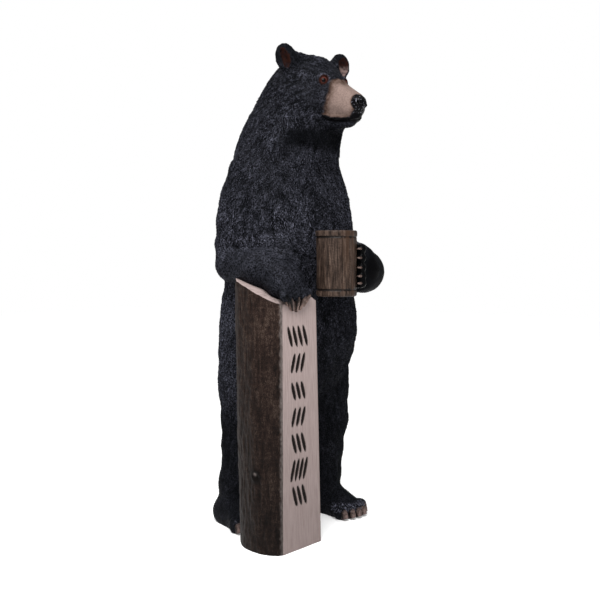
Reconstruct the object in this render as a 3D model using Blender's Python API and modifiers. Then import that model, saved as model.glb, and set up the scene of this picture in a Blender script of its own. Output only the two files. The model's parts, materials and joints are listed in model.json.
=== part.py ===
"""Standing black bear with a split-log sign post under its right forearm and a tankard in its left paw.

Metres, +Z up. The bear faces -Y, so its left is +X. Places are measured from a mark on the floor between
the feet; at the end everything is moved by CENTRE, so that the origin is on the floor in the middle of
the whole group.
"""

import math

import bmesh
import bpy
from mathutils import Matrix, Vector

CENTRE = Vector((0.045, 0.04, 0.0))  # middle of the group's footprint, from the floor mark
GAP = 0.0003  # clearance between two pieces that touch

# How finely the bear is cast
VOXEL = 0.0115
SMOOTHING_ROUNDS = 8
KEPT_SHARE = 0.071  # of the remeshed bear's triangles

# Trunk and neck, as level ellipses: height, centre x, centre y, half width, half depth
TRUNK = (
    (0.44, 0.090, 0.120, 0.060, 0.060),
    (0.48, 0.090, 0.120, 0.150, 0.150),
    (0.54, 0.090, 0.120, 0.205, 0.190),
    (0.62, 0.090, 0.112, 0.238, 0.228),
    (0.72, 0.090, 0.108, 0.252, 0.248),
    (0.80, 0.088, 0.110, 0.252, 0.248),
    (0.90, 0.080, 0.116, 0.248, 0.243),
    (1.00, 0.072, 0.116, 0.255, 0.242),
    (1.11, 0.072, 0.112, 0.265, 0.242),
    (1.22, 0.072, 0.115, 0.262, 0.220),
    (1.30, 0.072, 0.118, 0.250, 0.200),
    (1.38, 0.072, 0.112, 0.226, 0.184),
    (1.46, 0.072, 0.092, 0.202, 0.190),
    (1.54, 0.072, 0.068, 0.175, 0.188),
    (1.62, 0.072, 0.050, 0.152, 0.170),
    (1.70, 0.072, 0.030, 0.112, 0.125),
    (1.74, 0.072, 0.020, 0.050, 0.060),
)
RING_SIDES = 40
BODY_BALLS = (
    # centre, radii
    ((0.080, 0.205, 0.72), (0.226, 0.178, 0.30)),  # rump
    ((0.058, 0.160, 1.34), (0.175, 0.148, 0.24)),  # shoulder hump
    ((-0.060, 0.070, 1.15), (0.165, 0.150, 0.22)),  # fur over the right upper arm
)

# Limbs, as rounded tapers: x, y, z, radius at each bend
LEFT_LEG = (
    (0.200, 0.130, 0.60, 0.155),
    (0.238, 0.096, 0.48, 0.130),
    (0.250, 0.084, 0.376, 0.100),
    (0.265, 0.085, 0.25, 0.078),
    (0.272, 0.091, 0.15, 0.062),
    (0.272, 0.110, 0.05, 0.060),
)
RIGHT_LEG = (
    (-0.020, 0.200, 0.62, 0.141),
    (-0.035, 0.200, 0.52, 0.128),
    (-0.050, 0.210, 0.40, 0.105),
    (-0.060, 0.220, 0.30, 0.086),
    (-0.070, 0.242, 0.15, 0.066),
    (-0.068, 0.270, 0.05, 0.060),
)
RIGHT_ARM = (
    (-0.110, 0.130, 1.30, 0.100),
    (-0.165, 0.145, 1.13, 0.090),
    (-0.200, 0.150, 0.98, 0.066),
    (-0.218, 0.000, 0.968, 0.067),
    (-0.220, -0.080, 0.940, 0.062),
)
LEFT_ARM = (
    (0.260, 0.130, 1.30, 0.100),
    (0.310, 0.125, 1.13, 0.088),
    (0.335, 0.060, 1.00, 0.086),
    (0.250, -0.060, 0.955, 0.084),
    (0.176, -0.160, 0.950, 0.085),
)

# Feet: heel, turn to the bear's right in degrees
LEFT_HEEL = Vector((0.278, 0.138, 0.0))
LEFT_FOOT_TURN = 0.0
RIGHT_HEEL = Vector((-0.072, 0.294, 0.0))
RIGHT_FOOT_TURN = 25.0
FOOT_LENGTH = 0.200  # heel's centre to the toes' centres
FOOT_BALLS = (
    # centre in the foot's frame, radii, nod in degrees
    ((0.0, 0.0, 0.035), (0.056, 0.060, 0.060), 0),  # heel
    ((0.0, -0.080, 0.034), (0.062, 0.100, 0.076), -8),  # instep
    ((0.0, -0.155, 0.030), (0.074, 0.060, 0.056), 0),  # ball of the foot
)
TOES = 5
TOE_PITCH = 0.027
TOE_RADII = (0.0225, 0.030, 0.036)
TOE_HEIGHT = 0.034
TOE_NOD = 10
TOE_ARCH = 0.012  # how far the outer toes stand back
TOE_CLAW = (0.016, 0.012)  # the claw's root, ahead of the toe's centre and above it
TOE_CLAW_LENGTH = 0.034
TOE_CLAW_DROP = 0.9

# Head: its own frame sits between the ears, looks along -Y and is turned to the bear's right
HEAD_PLACE = Vector((0.075, -0.005, 1.64))
HEAD_TURN = 10.0
HEAD_BALLS = (
    # centre, radii, nod in degrees
    ((0.0, 0.018, -0.004), (0.150, 0.138, 0.132), 0),  # skull
    ((0.0, -0.085, -0.002), (0.092, 0.070, 0.072), 15),  # brow
    ((0.085, -0.02, -0.06), (0.070, 0.100, 0.085), 0),  # left cheek
    ((-0.085, -0.02, -0.06), (0.070, 0.100, 0.085), 0),  # right cheek
    ((0.0, -0.200, -0.090), (0.050, 0.055, 0.048), 12),  # muzzle end
    ((0.0, -0.238, -0.075), (0.032, 0.028, 0.026), 0),  # nose pad
    ((0.0, -0.185, -0.135), (0.036, 0.040, 0.028), 0),  # chin
)
MUZZLE = ((0.0, -0.08, -0.05, 0.085), (0.0, -0.20, -0.085, 0.050))
LOWER_JAW = ((0.0, -0.04, -0.11, 0.075), (0.0, -0.175, -0.130, 0.036))
EAR_PLACE = Vector((0.142, 0.0, 0.098))
EAR_RADII = (0.048, 0.026, 0.055)
EAR_LEAN = 18.0
EAR_CUP = ((0.0, -0.024, 0.003), (0.037, 0.026, 0.043))
EYE_PLACE = Vector((0.062, -0.120, 0.000))
EYE_RADIUS = 0.0165
EYE_SIDES = 14

# Paws
RIGHT_PAW = ((-0.210, -0.105, 0.930), (0.074, 0.062, 0.064))
LEFT_PAW = ((0.112, -0.205, 0.955), (0.062, 0.058, 0.076))
FINGERS = 5
FINGER_RADIUS = 0.0195
FINGER_TAPER = 0.9
FINGER_PITCH = 0.0265
RIGHT_KNUCKLE = Vector((0.0, -0.030, -0.015))  # from the paw's middle
RIGHT_FINGERTIP = Vector((0.0, -0.058, -0.050))
RIGHT_FINGER_ARCH = 0.004  # how much shorter each finger is than the one inside it
RIGHT_CLAW_LENGTH = 0.036
RIGHT_CLAW_BEND = Vector((0.0, 0.3, -0.6))
LEFT_GRIP = (-8.0, -42.0)  # where a finger starts and ends round the tankard, in degrees
LEFT_CLAW_LENGTH = 0.040
CLAW_SETBACK = 0.004
CLAW_RADIUS = 0.0075
CLAW_DEPTH = 1.25  # depth of the claw over its width
CLAW_POINT = 0.14  # of the root's radius
CLAW_CURVE = 0.45
CLAW_SIDES = 6
CLAW_STEPS = 3

# Sign post: a quarter-split log. Its section at the floor and at the top: the face's right edge,
# then the bark from the face's left edge round to the hidden split side
FLOOR_EDGE = (-0.074, -0.152)
FLOOR_BARK = (
    (-0.286, -0.152),
    (-0.310, -0.132),
    (-0.321, -0.100),
    (-0.321, -0.052),
    (-0.297, 0.012),
    (-0.262, 0.060),
    (-0.209, 0.106),
)
TOP_EDGE = (-0.087, -0.139)
TOP_BARK = (
    (-0.276, -0.140),
    (-0.304, -0.120),
    (-0.320, -0.088),
    (-0.324, -0.040),
    (-0.305, 0.024),
    (-0.274, 0.074),
    (-0.222, 0.122),
)
BARK_STEPS = 3  # sides between two points of the bark
POST_LEVELS = 6
TOP_RINGS = (0.3, 0.6, 0.97)  # how far each ring of the top stands in towards the middle
POST_HEIGHT = 0.848  # at the face
TOP_SLOPE = 0.40
TOP_CURVE = -0.45
TOP_RIDGE = 0.026
TOP_RIDGE_X = -0.165
TOP_RIDGE_HALF = 0.09

# Tankard
MUG_PLACE = Vector((-0.056, -0.207, 0.868))
MUG_HEIGHT = 0.231
MUG_RADIUS = 0.0725
MUG_WAIST = 0.0015  # how far the staves stand in from the rim bands
MUG_TAPER = 0.0025
MUG_BAND = 0.026
MUG_WALL = 0.009
MUG_FLOOR = 0.014
MUG_ROUND = 0.004  # how far the rim and the foot are rounded
MUG_SIDES = 36

COAT = ((0.012, 0.013, 0.017, 1.0), 0.62)
WOOD = ((0.330, 0.270, 0.235, 1.0), 0.70)
STAVES = ((0.085, 0.055, 0.040, 1.0), 0.55)
EYE = ((0.200, 0.045, 0.012, 1.0), 0.08)


def clear_scene():
    """Removes every object that is already there."""
    for obj in list(bpy.data.objects):
        bpy.data.objects.remove(obj, do_unlink=True)


def new_collection(name, hidden=False):
    """A collection in the scene."""
    group = bpy.data.collections.new(name)
    bpy.context.scene.collection.children.link(group)
    group.hide_render = hidden
    return group


def material(name, finish):
    """A plain Principled material from a (colour, roughness) pair."""
    colour, roughness = finish
    mat = bpy.data.materials.new(name)
    mat.use_nodes = True
    shader = mat.node_tree.nodes["Principled BSDF"]
    shader.inputs["Base Color"].default_value = colour
    shader.inputs["Roughness"].default_value = roughness
    shader.inputs["Metallic"].default_value = 0.0
    mat.diffuse_color = colour
    return mat


def make_object(name, bm, group, mat=None):
    """An object in group from a bmesh built round the floor mark."""
    bmesh.ops.transform(bm, matrix=Matrix.Translation(-CENTRE), verts=bm.verts)
    bmesh.ops.recalc_face_normals(bm, faces=bm.faces)
    mesh = bpy.data.meshes.new(name)
    bm.to_mesh(mesh)
    bm.free()
    obj = bpy.data.objects.new(name, mesh)
    group.objects.link(obj)
    if mat:
        mesh.materials.append(mat)
        mesh.shade_smooth()
    else:
        obj.hide_render = True
        obj.display_type = "WIRE"
    return obj


def boolean(obj, operation, cutter):
    """Cuts obj with cutter, or joins cutter to it."""
    mod = obj.modifiers.new(cutter.name, "BOOLEAN")
    mod.operation = operation
    mod.solver = "EXACT"
    mod.object = cutter


def facing(place, turn):
    """The frame at place that looks along -Y, turned so many degrees to the bear's right."""
    return Matrix.Translation(place) @ Matrix.Rotation(math.radians(-turn), 4, "Z")


def add_ball(bm, centre, radii, frame=Matrix.Identity(4), nod=0.0, sides=24):
    """An ellipsoid whose front is nodded down by so many degrees."""
    matrix = frame @ Matrix.Translation(centre) @ Matrix.Rotation(math.radians(nod), 4, "X")
    matrix = matrix @ Matrix.Diagonal((*radii, 1.0))
    bmesh.ops.create_uvsphere(bm, u_segments=sides, v_segments=sides // 2, radius=1.0, matrix=matrix)


def add_taper(bm, start, end, radius1, radius2, sides=24):
    """A cone frustum from start to end."""
    along = end - start
    turn = along.to_track_quat("Z", "Y").to_matrix().to_4x4()
    matrix = Matrix.Translation((start + end) / 2) @ turn
    bmesh.ops.create_cone(
        bm,
        cap_ends=True,
        segments=sides,
        radius1=radius1,
        radius2=radius2,
        depth=along.length,
        matrix=matrix,
    )


def add_limb(bm, path, frame=Matrix.Identity(4), sides=24):
    """A limb of rounded tapers through (x, y, z, radius) points."""
    places = [frame @ Vector(point[:3]) for point in path]
    radii = [point[3] for point in path]
    for place, radius in zip(places, radii):
        add_ball(bm, place, (radius, radius, radius), sides=sides)
    for k in range(len(path) - 1):
        add_taper(bm, places[k], places[k + 1], radii[k], radii[k + 1], sides)


def add_rings(bm, rings):
    """A closed skin over rings of points that all have the same number of points."""
    loops = [[bm.verts.new(point) for point in ring] for ring in rings]
    for low, high in zip(loops, loops[1:]):
        for k in range(len(low)):
            after = (k + 1) % len(low)
            bm.faces.new((low[k], low[after], high[after], high[k]))
    bm.faces.new(tuple(reversed(loops[0])))
    bm.faces.new(loops[-1])


def ellipse(z, x, y, half_width, half_depth):
    """The points of a level ellipse."""
    turns = [2 * math.pi * k / RING_SIDES for k in range(RING_SIDES)]
    return [(x + half_width * math.cos(t), y + half_depth * math.sin(t), z) for t in turns]


def add_foot(bm, heel, turn):
    """A flat-soled foot: heel, instep, ball and toes."""
    frame = facing(heel, turn)
    for centre, radii, nod in FOOT_BALLS:
        add_ball(bm, centre, radii, frame, nod)
    for side, forward in toe_places():
        add_ball(bm, (side, -forward, TOE_HEIGHT), TOE_RADII, frame, TOE_NOD)


def toe_places():
    """Sideways and forward place of each toe in its foot's frame."""
    middle = (TOES - 1) / 2
    for k in range(TOES):
        offset = (k - middle) / middle
        yield (k - middle) * TOE_PITCH, FOOT_LENGTH - TOE_ARCH * offset * offset


def right_fingers():
    """Root and tip of each finger of the paw that lies on the post."""
    middle = (FINGERS - 1) / 2
    x, y, z = RIGHT_PAW[0]
    for k in range(FINGERS):
        place = Vector((x + (k - middle) * FINGER_PITCH, y, z))
        arch = Vector((0.0, RIGHT_FINGER_ARCH * abs(k - middle), 0.0))
        yield place + RIGHT_KNUCKLE, place + RIGHT_FINGERTIP + arch


def left_fingers():
    """Root and tip of each finger of the paw that holds the tankard."""
    middle = (FINGERS - 1) / 2
    reach = MUG_RADIUS + FINGER_RADIUS * 0.8
    for k in range(FINGERS):
        height = LEFT_PAW[0][2] + (k - middle) * FINGER_PITCH
        spots = []
        for turn in LEFT_GRIP:
            angle = math.radians(turn)
            spots.append(MUG_PLACE + Vector((reach * math.cos(angle), reach * math.sin(angle), 0.0)))
            spots[-1].z = height
        yield spots[0], spots[1]


def add_finger(bm, root, tip):
    """One finger as a rounded taper."""
    add_limb(bm, ((*root, FINGER_RADIUS), (*tip, FINGER_RADIUS * FINGER_TAPER)), sides=16)


def add_claw(bm, root, aim, droop, length):
    """A curved horn from root along aim that bends towards droop."""
    rings = []
    for step in range(CLAW_STEPS + 1):
        share = step / CLAW_STEPS
        place = root + length * (aim * share + droop * (CLAW_CURVE * share * share))
        along = (aim + droop * (2.0 * CLAW_CURVE * share)).normalized()
        side = along.cross(droop).normalized()
        up = side.cross(along) * CLAW_DEPTH
        radius = CLAW_RADIUS * (1.0 - (1.0 - CLAW_POINT) * share)
        ring = []
        for k in range(CLAW_SIDES):
            angle = 2 * math.pi * k / CLAW_SIDES
            ring.append(place + radius * (side * math.cos(angle) + up * math.sin(angle)))
        rings.append(ring)
    add_rings(bm, rings)


def claws_mesh():
    """All twenty claws, which stay separate bodies until they are joined to the bear."""
    bm = bmesh.new()
    down = Vector((0.0, 0.0, -1.0))
    for heel, turn in ((LEFT_HEEL, LEFT_FOOT_TURN), (RIGHT_HEEL, RIGHT_FOOT_TURN)):
        frame = facing(heel, turn)
        ahead = frame.to_3x3() @ Vector((0.0, -1.0, 0.0))
        aim = (ahead + TOE_CLAW_DROP * down).normalized()
        for side, forward in toe_places():
            root = frame @ Vector((side, -forward - TOE_CLAW[0], TOE_HEIGHT + TOE_CLAW[1]))
            add_claw(bm, root, aim, down, TOE_CLAW_LENGTH)
    for root, tip in right_fingers():
        ahead = (tip - root).normalized()
        aim = (ahead + down).normalized()
        add_claw(bm, tip + ahead * CLAW_SETBACK, aim, RIGHT_CLAW_BEND, RIGHT_CLAW_LENGTH)
    for root, tip in left_fingers():
        out = tip - MUG_PLACE
        out.z = 0.0
        out.normalize()
        along = down.cross(out)
        add_claw(bm, tip + along * CLAW_SETBACK, along, -0.8 * out, LEFT_CLAW_LENGTH)
    return bm


def bear_mesh():
    """The bear's masses, as overlapping closed bodies."""
    bm = bmesh.new()
    add_rings(bm, [ellipse(*row) for row in TRUNK])
    for centre, radii in BODY_BALLS:
        add_ball(bm, centre, radii)
    for path in (LEFT_LEG, RIGHT_LEG, RIGHT_ARM, LEFT_ARM):
        add_limb(bm, path)
    add_foot(bm, LEFT_HEEL, LEFT_FOOT_TURN)
    add_foot(bm, RIGHT_HEEL, RIGHT_FOOT_TURN)
    head = facing(HEAD_PLACE, HEAD_TURN)
    for centre, radii, nod in HEAD_BALLS:
        add_ball(bm, centre, radii, head, nod)
    add_limb(bm, MUZZLE, head)
    add_limb(bm, LOWER_JAW, head)
    for side in (-1, 1):
        add_ball(bm, (0, 0, 0), EAR_RADII, ear_frame(side))
    add_ball(bm, *RIGHT_PAW)
    add_ball(bm, *LEFT_PAW)
    for root, tip in (*right_fingers(), *left_fingers()):
        add_finger(bm, root, tip)
    return bm


def ear_frame(side):
    """The frame of one ear, which leans outwards. Side is 1 for the left ear."""
    head = facing(HEAD_PLACE, HEAD_TURN)
    place = Matrix.Translation((side * EAR_PLACE.x, EAR_PLACE.y, EAR_PLACE.z))
    return head @ place @ Matrix.Rotation(math.radians(side * EAR_LEAN), 4, "Y")


def eye_place(side):
    """Centre of one eye. Side is 1 for the left eye."""
    return facing(HEAD_PLACE, HEAD_TURN) @ Vector((side * EYE_PLACE.x, EYE_PLACE.y, EYE_PLACE.z))


def hollows_mesh():
    """What is cut from the bear's head: the ear cups and the eye sockets."""
    bm = bmesh.new()
    for side in (-1, 1):
        add_ball(bm, *EAR_CUP, ear_frame(side), sides=16)
        socket = EYE_RADIUS + GAP
        add_ball(bm, eye_place(side), (socket, socket, socket), sides=EYE_SIDES)
    return bm


def floor_mesh():
    """A block under the floor, which gives the feet flat soles."""
    bm = bmesh.new()
    bmesh.ops.create_cube(bm, size=1.0, matrix=Matrix.Translation((0, 0, -0.5)) @ Matrix.Diagonal((3, 3, 1, 1)))
    return bm


def spline(points, steps):
    """Points of a smooth curve through points, with so many steps between two of them."""
    ends = [points[0], *points, points[-1]]
    curve = []
    for k in range(len(points) - 1):
        before, start, end, after = (Vector(p) for p in ends[k : k + 4])
        for step in range(steps):
            t = step / steps
            curve.append(
                0.5
                * (
                    2 * start
                    + (end - before) * t
                    + (2 * before - 5 * start + 4 * end - after) * t * t
                    + (3 * start - before - 3 * end + after) * t**3
                )
            )
    curve.append(Vector(points[-1]))
    return curve


def post_section(edge, bark):
    """One section of the log: the face's right edge, then the bark."""
    return [Vector(edge), *spline(bark, BARK_STEPS)]


def post_top(x, y):
    """Height of the hewn top at a place of the section."""
    back = y - FLOOR_EDGE[1]
    ridge = TOP_RIDGE * math.exp(-2.0 * ((x - TOP_RIDGE_X) / TOP_RIDGE_HALF) ** 2)
    return POST_HEIGHT + TOP_SLOPE * back + TOP_CURVE * back * back + ridge


def post_mesh(grow=0.0):
    """The log post, or a copy that is larger by about grow all round."""
    bm = bmesh.new()
    low = post_section(FLOOR_EDGE, FLOOR_BARK)
    high = post_section(TOP_EDGE, TOP_BARK)
    middle = sum(low, Vector((0.0, 0.0))) / len(low)
    rings = []
    for level in range(POST_LEVELS + 1):
        share = level / POST_LEVELS
        ring = []
        for start, end in zip(low, high):
            flat = start.lerp(end, share)
            flat += (flat - middle).normalized() * (2.0 * grow)
            top = post_top(end.x, end.y) + grow
            ring.append(Vector((flat.x, flat.y, (top + grow) * share - grow)))
        rings.append(ring)
    for inward in TOP_RINGS:
        ring = []
        for end in high:
            flat = end.lerp(middle, inward)
            ring.append(Vector((flat.x, flat.y, post_top(flat.x, flat.y) + grow)))
        rings.append(ring)
    add_rings(bm, rings)
    bmesh.ops.triangulate(bm, faces=bm.faces, quad_method="FIXED")
    return bm


def mug_profile(grow=0.0):
    """Radius and height of the tankard's outside, top to bottom."""
    top = MUG_RADIUS + grow
    low = MUG_RADIUS - MUG_TAPER + grow
    waist_top = top - MUG_WAIST
    waist_low = low - MUG_WAIST
    return (
        (top - MUG_ROUND, MUG_HEIGHT + grow),
        (top, MUG_HEIGHT - MUG_ROUND),
        (top, MUG_HEIGHT - MUG_BAND),
        (waist_top, MUG_HEIGHT - MUG_BAND - MUG_WAIST),
        (waist_low, MUG_BAND + MUG_WAIST),
        (low, MUG_BAND),
        (low, MUG_ROUND),
        (low - MUG_ROUND, -grow),
    )


def turned(name, profile, group, mat=None):
    """A turned object whose profile starts and ends on the axis of the tankard."""
    bm = bmesh.new()
    verts = [bm.verts.new((radius, 0.0, height)) for radius, height in profile]
    for low, high in zip(verts, verts[1:]):
        bm.edges.new((low, high))
    obj = make_object(name, bm, group, mat)
    obj.data.transform(Matrix.Translation(CENTRE))
    obj.location = MUG_PLACE - CENTRE
    screw = obj.modifiers.new("turning", "SCREW")
    screw.steps = MUG_SIDES
    screw.render_steps = MUG_SIDES
    screw.use_merge_vertices = True
    screw.merge_threshold = 0.0001
    screw.use_smooth_shade = True
    return obj


def build_mug(parts, mat):
    """The hollow tankard, open at the top."""
    bore = MUG_RADIUS - MUG_TAPER - MUG_WALL
    inside = (
        (0.0, MUG_FLOOR),
        (bore - MUG_ROUND, MUG_FLOOR),
        (bore, MUG_FLOOR + MUG_ROUND),
        (bore + MUG_TAPER, MUG_HEIGHT - MUG_ROUND),
        (bore + MUG_TAPER + MUG_WAIST, MUG_HEIGHT),
    )
    profile = (*inside, *mug_profile(), (0.0, 0.0))
    return turned("mug", profile, parts, mat)


def build_bear(parts, tools, mat):
    """One casting: masses remeshed to a single skin, then the crisp cuts and the claws."""
    bear = make_object("bear", bear_mesh(), parts, mat)
    remesh = bear.modifiers.new("skin", "REMESH")
    remesh.mode = "VOXEL"
    remesh.voxel_size = VOXEL
    remesh.use_smooth_shade = True
    smooth = bear.modifiers.new("soften", "SMOOTH")
    smooth.factor = 0.5
    smooth.iterations = SMOOTHING_ROUNDS
    thin = bear.modifiers.new("thin", "DECIMATE")
    thin.ratio = KEPT_SHARE
    boolean(bear, "UNION", make_object("claws", claws_mesh(), tools))
    boolean(bear, "DIFFERENCE", make_object("head_hollows", hollows_mesh(), tools))
    boolean(bear, "DIFFERENCE", make_object("floor", floor_mesh(), tools))
    boolean(bear, "DIFFERENCE", make_object("post_room", post_mesh(GAP), tools))
    room = ((0.0, MUG_HEIGHT + GAP), *mug_profile(GAP), (0.0, -GAP))
    boolean(bear, "DIFFERENCE", turned("mug_room", room, tools))
    return bear


def build_eye(name, side, parts, mat):
    """One set-in eye."""
    bm = bmesh.new()
    add_ball(bm, eye_place(side), (EYE_RADIUS, EYE_RADIUS, EYE_RADIUS), sides=EYE_SIDES)
    return make_object(name, bm, parts, mat)


def build():
    """The whole group."""
    clear_scene()
    parts = new_collection("welcoming_bear")
    tools = new_collection("cutters", hidden=True)
    coat = material("painted_coat", COAT)
    amber = material("amber_eye", EYE)
    build_bear(parts, tools, coat)
    build_eye("right_eye", -1, parts, amber)
    build_eye("left_eye", 1, parts, amber)
    make_object("sign_post", post_mesh(), parts, material("hewn_log", WOOD)).data.shade_flat()
    build_mug(parts, material("tankard_staves", STAVES))


build()
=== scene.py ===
"""Finished look of a life-size standing bear statue with a split-log sign post and a wooden tankard.

The real one is cast in fibreglass resin and painted by hand: fur moulded in short tufts, sprayed black and
dry-brushed with blue-grey, an airbrushed tan muzzle, gloss black nose and lips, set-in amber eyes, a brown
bark log with a pale split face, and a stave tankard.

Metres, +Z up. Places are measured from a mark on the floor between the feet; the mark itself is at MARK
from the origin, and every piece is moved by it when its mesh is made. The bear faces -Y, so its left is +X.
"""

import json
import logging
from collections.abc import Iterator, Sequence
from dataclasses import dataclass, field
from enum import Enum
from math import ceil, cos, pi, radians, sin, sqrt

import bmesh
import bpy
import numpy as np
from bpy.types import Material, Mesh, Node, NodeSocket, NodeTree, Object
from mathutils import Matrix, Vector
from numpy.linalg import norm

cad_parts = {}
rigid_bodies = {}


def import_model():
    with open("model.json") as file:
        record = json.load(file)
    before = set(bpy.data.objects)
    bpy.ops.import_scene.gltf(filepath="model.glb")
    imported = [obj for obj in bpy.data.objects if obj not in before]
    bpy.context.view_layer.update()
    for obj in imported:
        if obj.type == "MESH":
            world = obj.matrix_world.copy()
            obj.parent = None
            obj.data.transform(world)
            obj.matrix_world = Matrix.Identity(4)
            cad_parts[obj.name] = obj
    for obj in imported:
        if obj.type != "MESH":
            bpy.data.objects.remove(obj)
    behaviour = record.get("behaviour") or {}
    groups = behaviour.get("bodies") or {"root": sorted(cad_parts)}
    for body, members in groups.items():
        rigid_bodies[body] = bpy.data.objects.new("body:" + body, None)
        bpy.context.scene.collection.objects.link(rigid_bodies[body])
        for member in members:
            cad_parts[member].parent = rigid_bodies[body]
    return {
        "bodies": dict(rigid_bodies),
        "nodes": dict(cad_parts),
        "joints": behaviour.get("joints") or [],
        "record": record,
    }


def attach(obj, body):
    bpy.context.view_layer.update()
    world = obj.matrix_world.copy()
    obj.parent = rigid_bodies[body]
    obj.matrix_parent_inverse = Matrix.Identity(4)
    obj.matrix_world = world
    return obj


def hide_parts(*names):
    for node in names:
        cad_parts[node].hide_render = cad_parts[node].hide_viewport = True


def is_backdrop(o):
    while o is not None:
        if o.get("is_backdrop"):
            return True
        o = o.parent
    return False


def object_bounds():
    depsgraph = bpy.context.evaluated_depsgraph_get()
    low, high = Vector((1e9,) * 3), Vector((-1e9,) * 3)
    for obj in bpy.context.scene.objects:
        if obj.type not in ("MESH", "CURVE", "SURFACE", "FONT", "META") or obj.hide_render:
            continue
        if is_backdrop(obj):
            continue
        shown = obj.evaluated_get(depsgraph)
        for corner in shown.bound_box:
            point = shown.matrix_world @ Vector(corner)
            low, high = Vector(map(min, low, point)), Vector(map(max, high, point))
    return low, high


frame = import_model()
CAD_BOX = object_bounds()

LOG = logging.getLogger("statue")
MARK = Vector((-0.045, -0.04, 0.0))
BODY = "root"
MARGIN = 0.03  # how far a block of clay reaches beyond its band

Array = np.ndarray
Row = tuple[float, ...]
Rows = tuple[Row, ...]
Pair = tuple[float, float]
Faces = list[list[int]]
Links = dict[str | int, object]  # for each input of a node, what goes into it
WHITE = (1.0, 1.0, 1.0, 1.0)
DOWN = Vector((0.0, 0.0, -1.0))
FRONT = Vector((0.0, -1.0, 0.0))

WORD = 2**32  # how many values a random word has
SEED_FACTOR = 2654435761
SCATTER = np.array([374761393, 668265263, 3266489917], np.uint32)  # odd factors that scatter a number's bits
STIR = ((15, np.uint32(2246822519)), (13, SCATTER[2]))  # shifts and factors that stir them


# ---------------- numbers and noise


def ease(low: float, high: float, value: Array) -> Array:
    """Rises smoothly from 0 where value is low to 1 where it is high."""
    share = np.clip((value - low) / (high - low), 0.0, 1.0)
    return share * share * (3.0 - 2.0 * share)


def lattice(corner: Array, seed: int) -> Array:
    """A fixed random value from -1 to 1 for each whole-number corner.

    Args:
        corner: one row of three whole numbers each.
        seed: which set of values.

    Returns:
        One value for each corner.
    """
    mixed = corner.astype(np.uint32) * SCATTER
    word = mixed[:, 0] ^ mixed[:, 1] ^ mixed[:, 2] ^ np.uint32(seed * SEED_FACTOR % WORD)
    for shift, factor in STIR:
        word = (word ^ (word >> np.uint32(shift))) * factor
    word = word ^ (word >> np.uint32(16))
    return word.astype(np.float64) / (WORD / 2) - 1.0


def cloud(points: Array, size: float | Sequence[float], seed: int) -> Array:
    """Smooth random hills.

    Args:
        points: places, one row of three each.
        size: width of a hill in metres, or one width for each axis.
        seed: which pattern.

    Returns:
        A value from -1 to 1 for each point.
    """
    scaled = points / np.asarray(size, float)
    base = np.floor(scaled)
    part = scaled - base
    part = part * part * (3.0 - 2.0 * part)
    base = base.astype(np.int64)
    total = np.zeros(len(points))
    for step in np.ndindex(2, 2, 2):
        weight = np.prod(np.where(step, part, 1.0 - part), axis=1)
        total += weight * lattice(base + step, seed)
    return total


def streaks(points: Array, along: Array, length: float, width: float, seed: int, taps: int = 9) -> Array:
    """Random streaks that run along a direction, as strands of moulded hair do.

    Args:
        points: places on a skin.
        along: unit direction of the streak at each place.
        length: length of a streak in metres.
        width: width of a streak in metres.
        seed: which pattern.
        taps: how many places along it are averaged.

    Returns:
        A value for each point, with mean 0 and spread 1.
    """
    total = np.zeros(len(points))
    for shift in np.linspace(-0.5, 0.5, taps) * length:
        total += cloud(points + along * shift, width, seed)
    return (total - total.mean()) / total.std()


def unit(vectors: Array) -> Array:
    """Rows scaled to length 1."""
    return vectors / np.maximum(norm(vectors, axis=1, keepdims=True), 1e-9)


def spline(points: Sequence[Row], steps: int) -> Array:
    """A smooth curve through points.

    Args:
        points: what it goes through.
        steps: how many places it gives between two points.

    Returns:
        The places of the curve, one row each.
    """
    knots = np.array([points[0], *points, points[-1]], float)
    share = (np.arange(steps) / steps)[:, None]
    runs = []
    for before, start, end, after in zip(knots, knots[1:], knots[2:], knots[3:]):
        run = 2 * start + (end - before) * share
        run = run + (2 * before - 5 * start + 4 * end - after) * share**2
        run = run + (3 * start - before - 3 * end + after) * share**3
        runs.append(0.5 * run)
    return np.vstack([*runs, knots[-1:]])


def facing(place: Sequence[float], turn: float) -> Matrix:
    """The frame at place that looks along -Y, turned so many degrees to the bear's right."""
    return Matrix.Translation(place) @ Matrix.Rotation(radians(-turn), 4, "Z")


def carried(points: Array, frame: Matrix) -> Array:
    """Places given in a frame, as they are outside it; with the frame's inverse, the other way round."""
    matrix = np.array(frame)
    return points @ matrix[:3, :3].T + matrix[:3, 3]


# ---------------- clay


class Shape:
    """Something that is pressed onto clay or scooped out of it."""

    def box(self) -> tuple[Array, Array]:
        """Lowest and highest corner of a box that holds it."""
        raise NotImplementedError

    def distance(self, x: Array, y: Array, z: Array) -> Array:
        """About how far places are outside it.

        Args:
            x: how far each is towards the bear's left.
            y: how far each is towards its back.
            z: the height of each.

        Returns:
            Metres, negative inside.
        """
        raise NotImplementedError


Masses = Iterator[tuple[Shape, float]]  # shapes, each with its fillet


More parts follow.
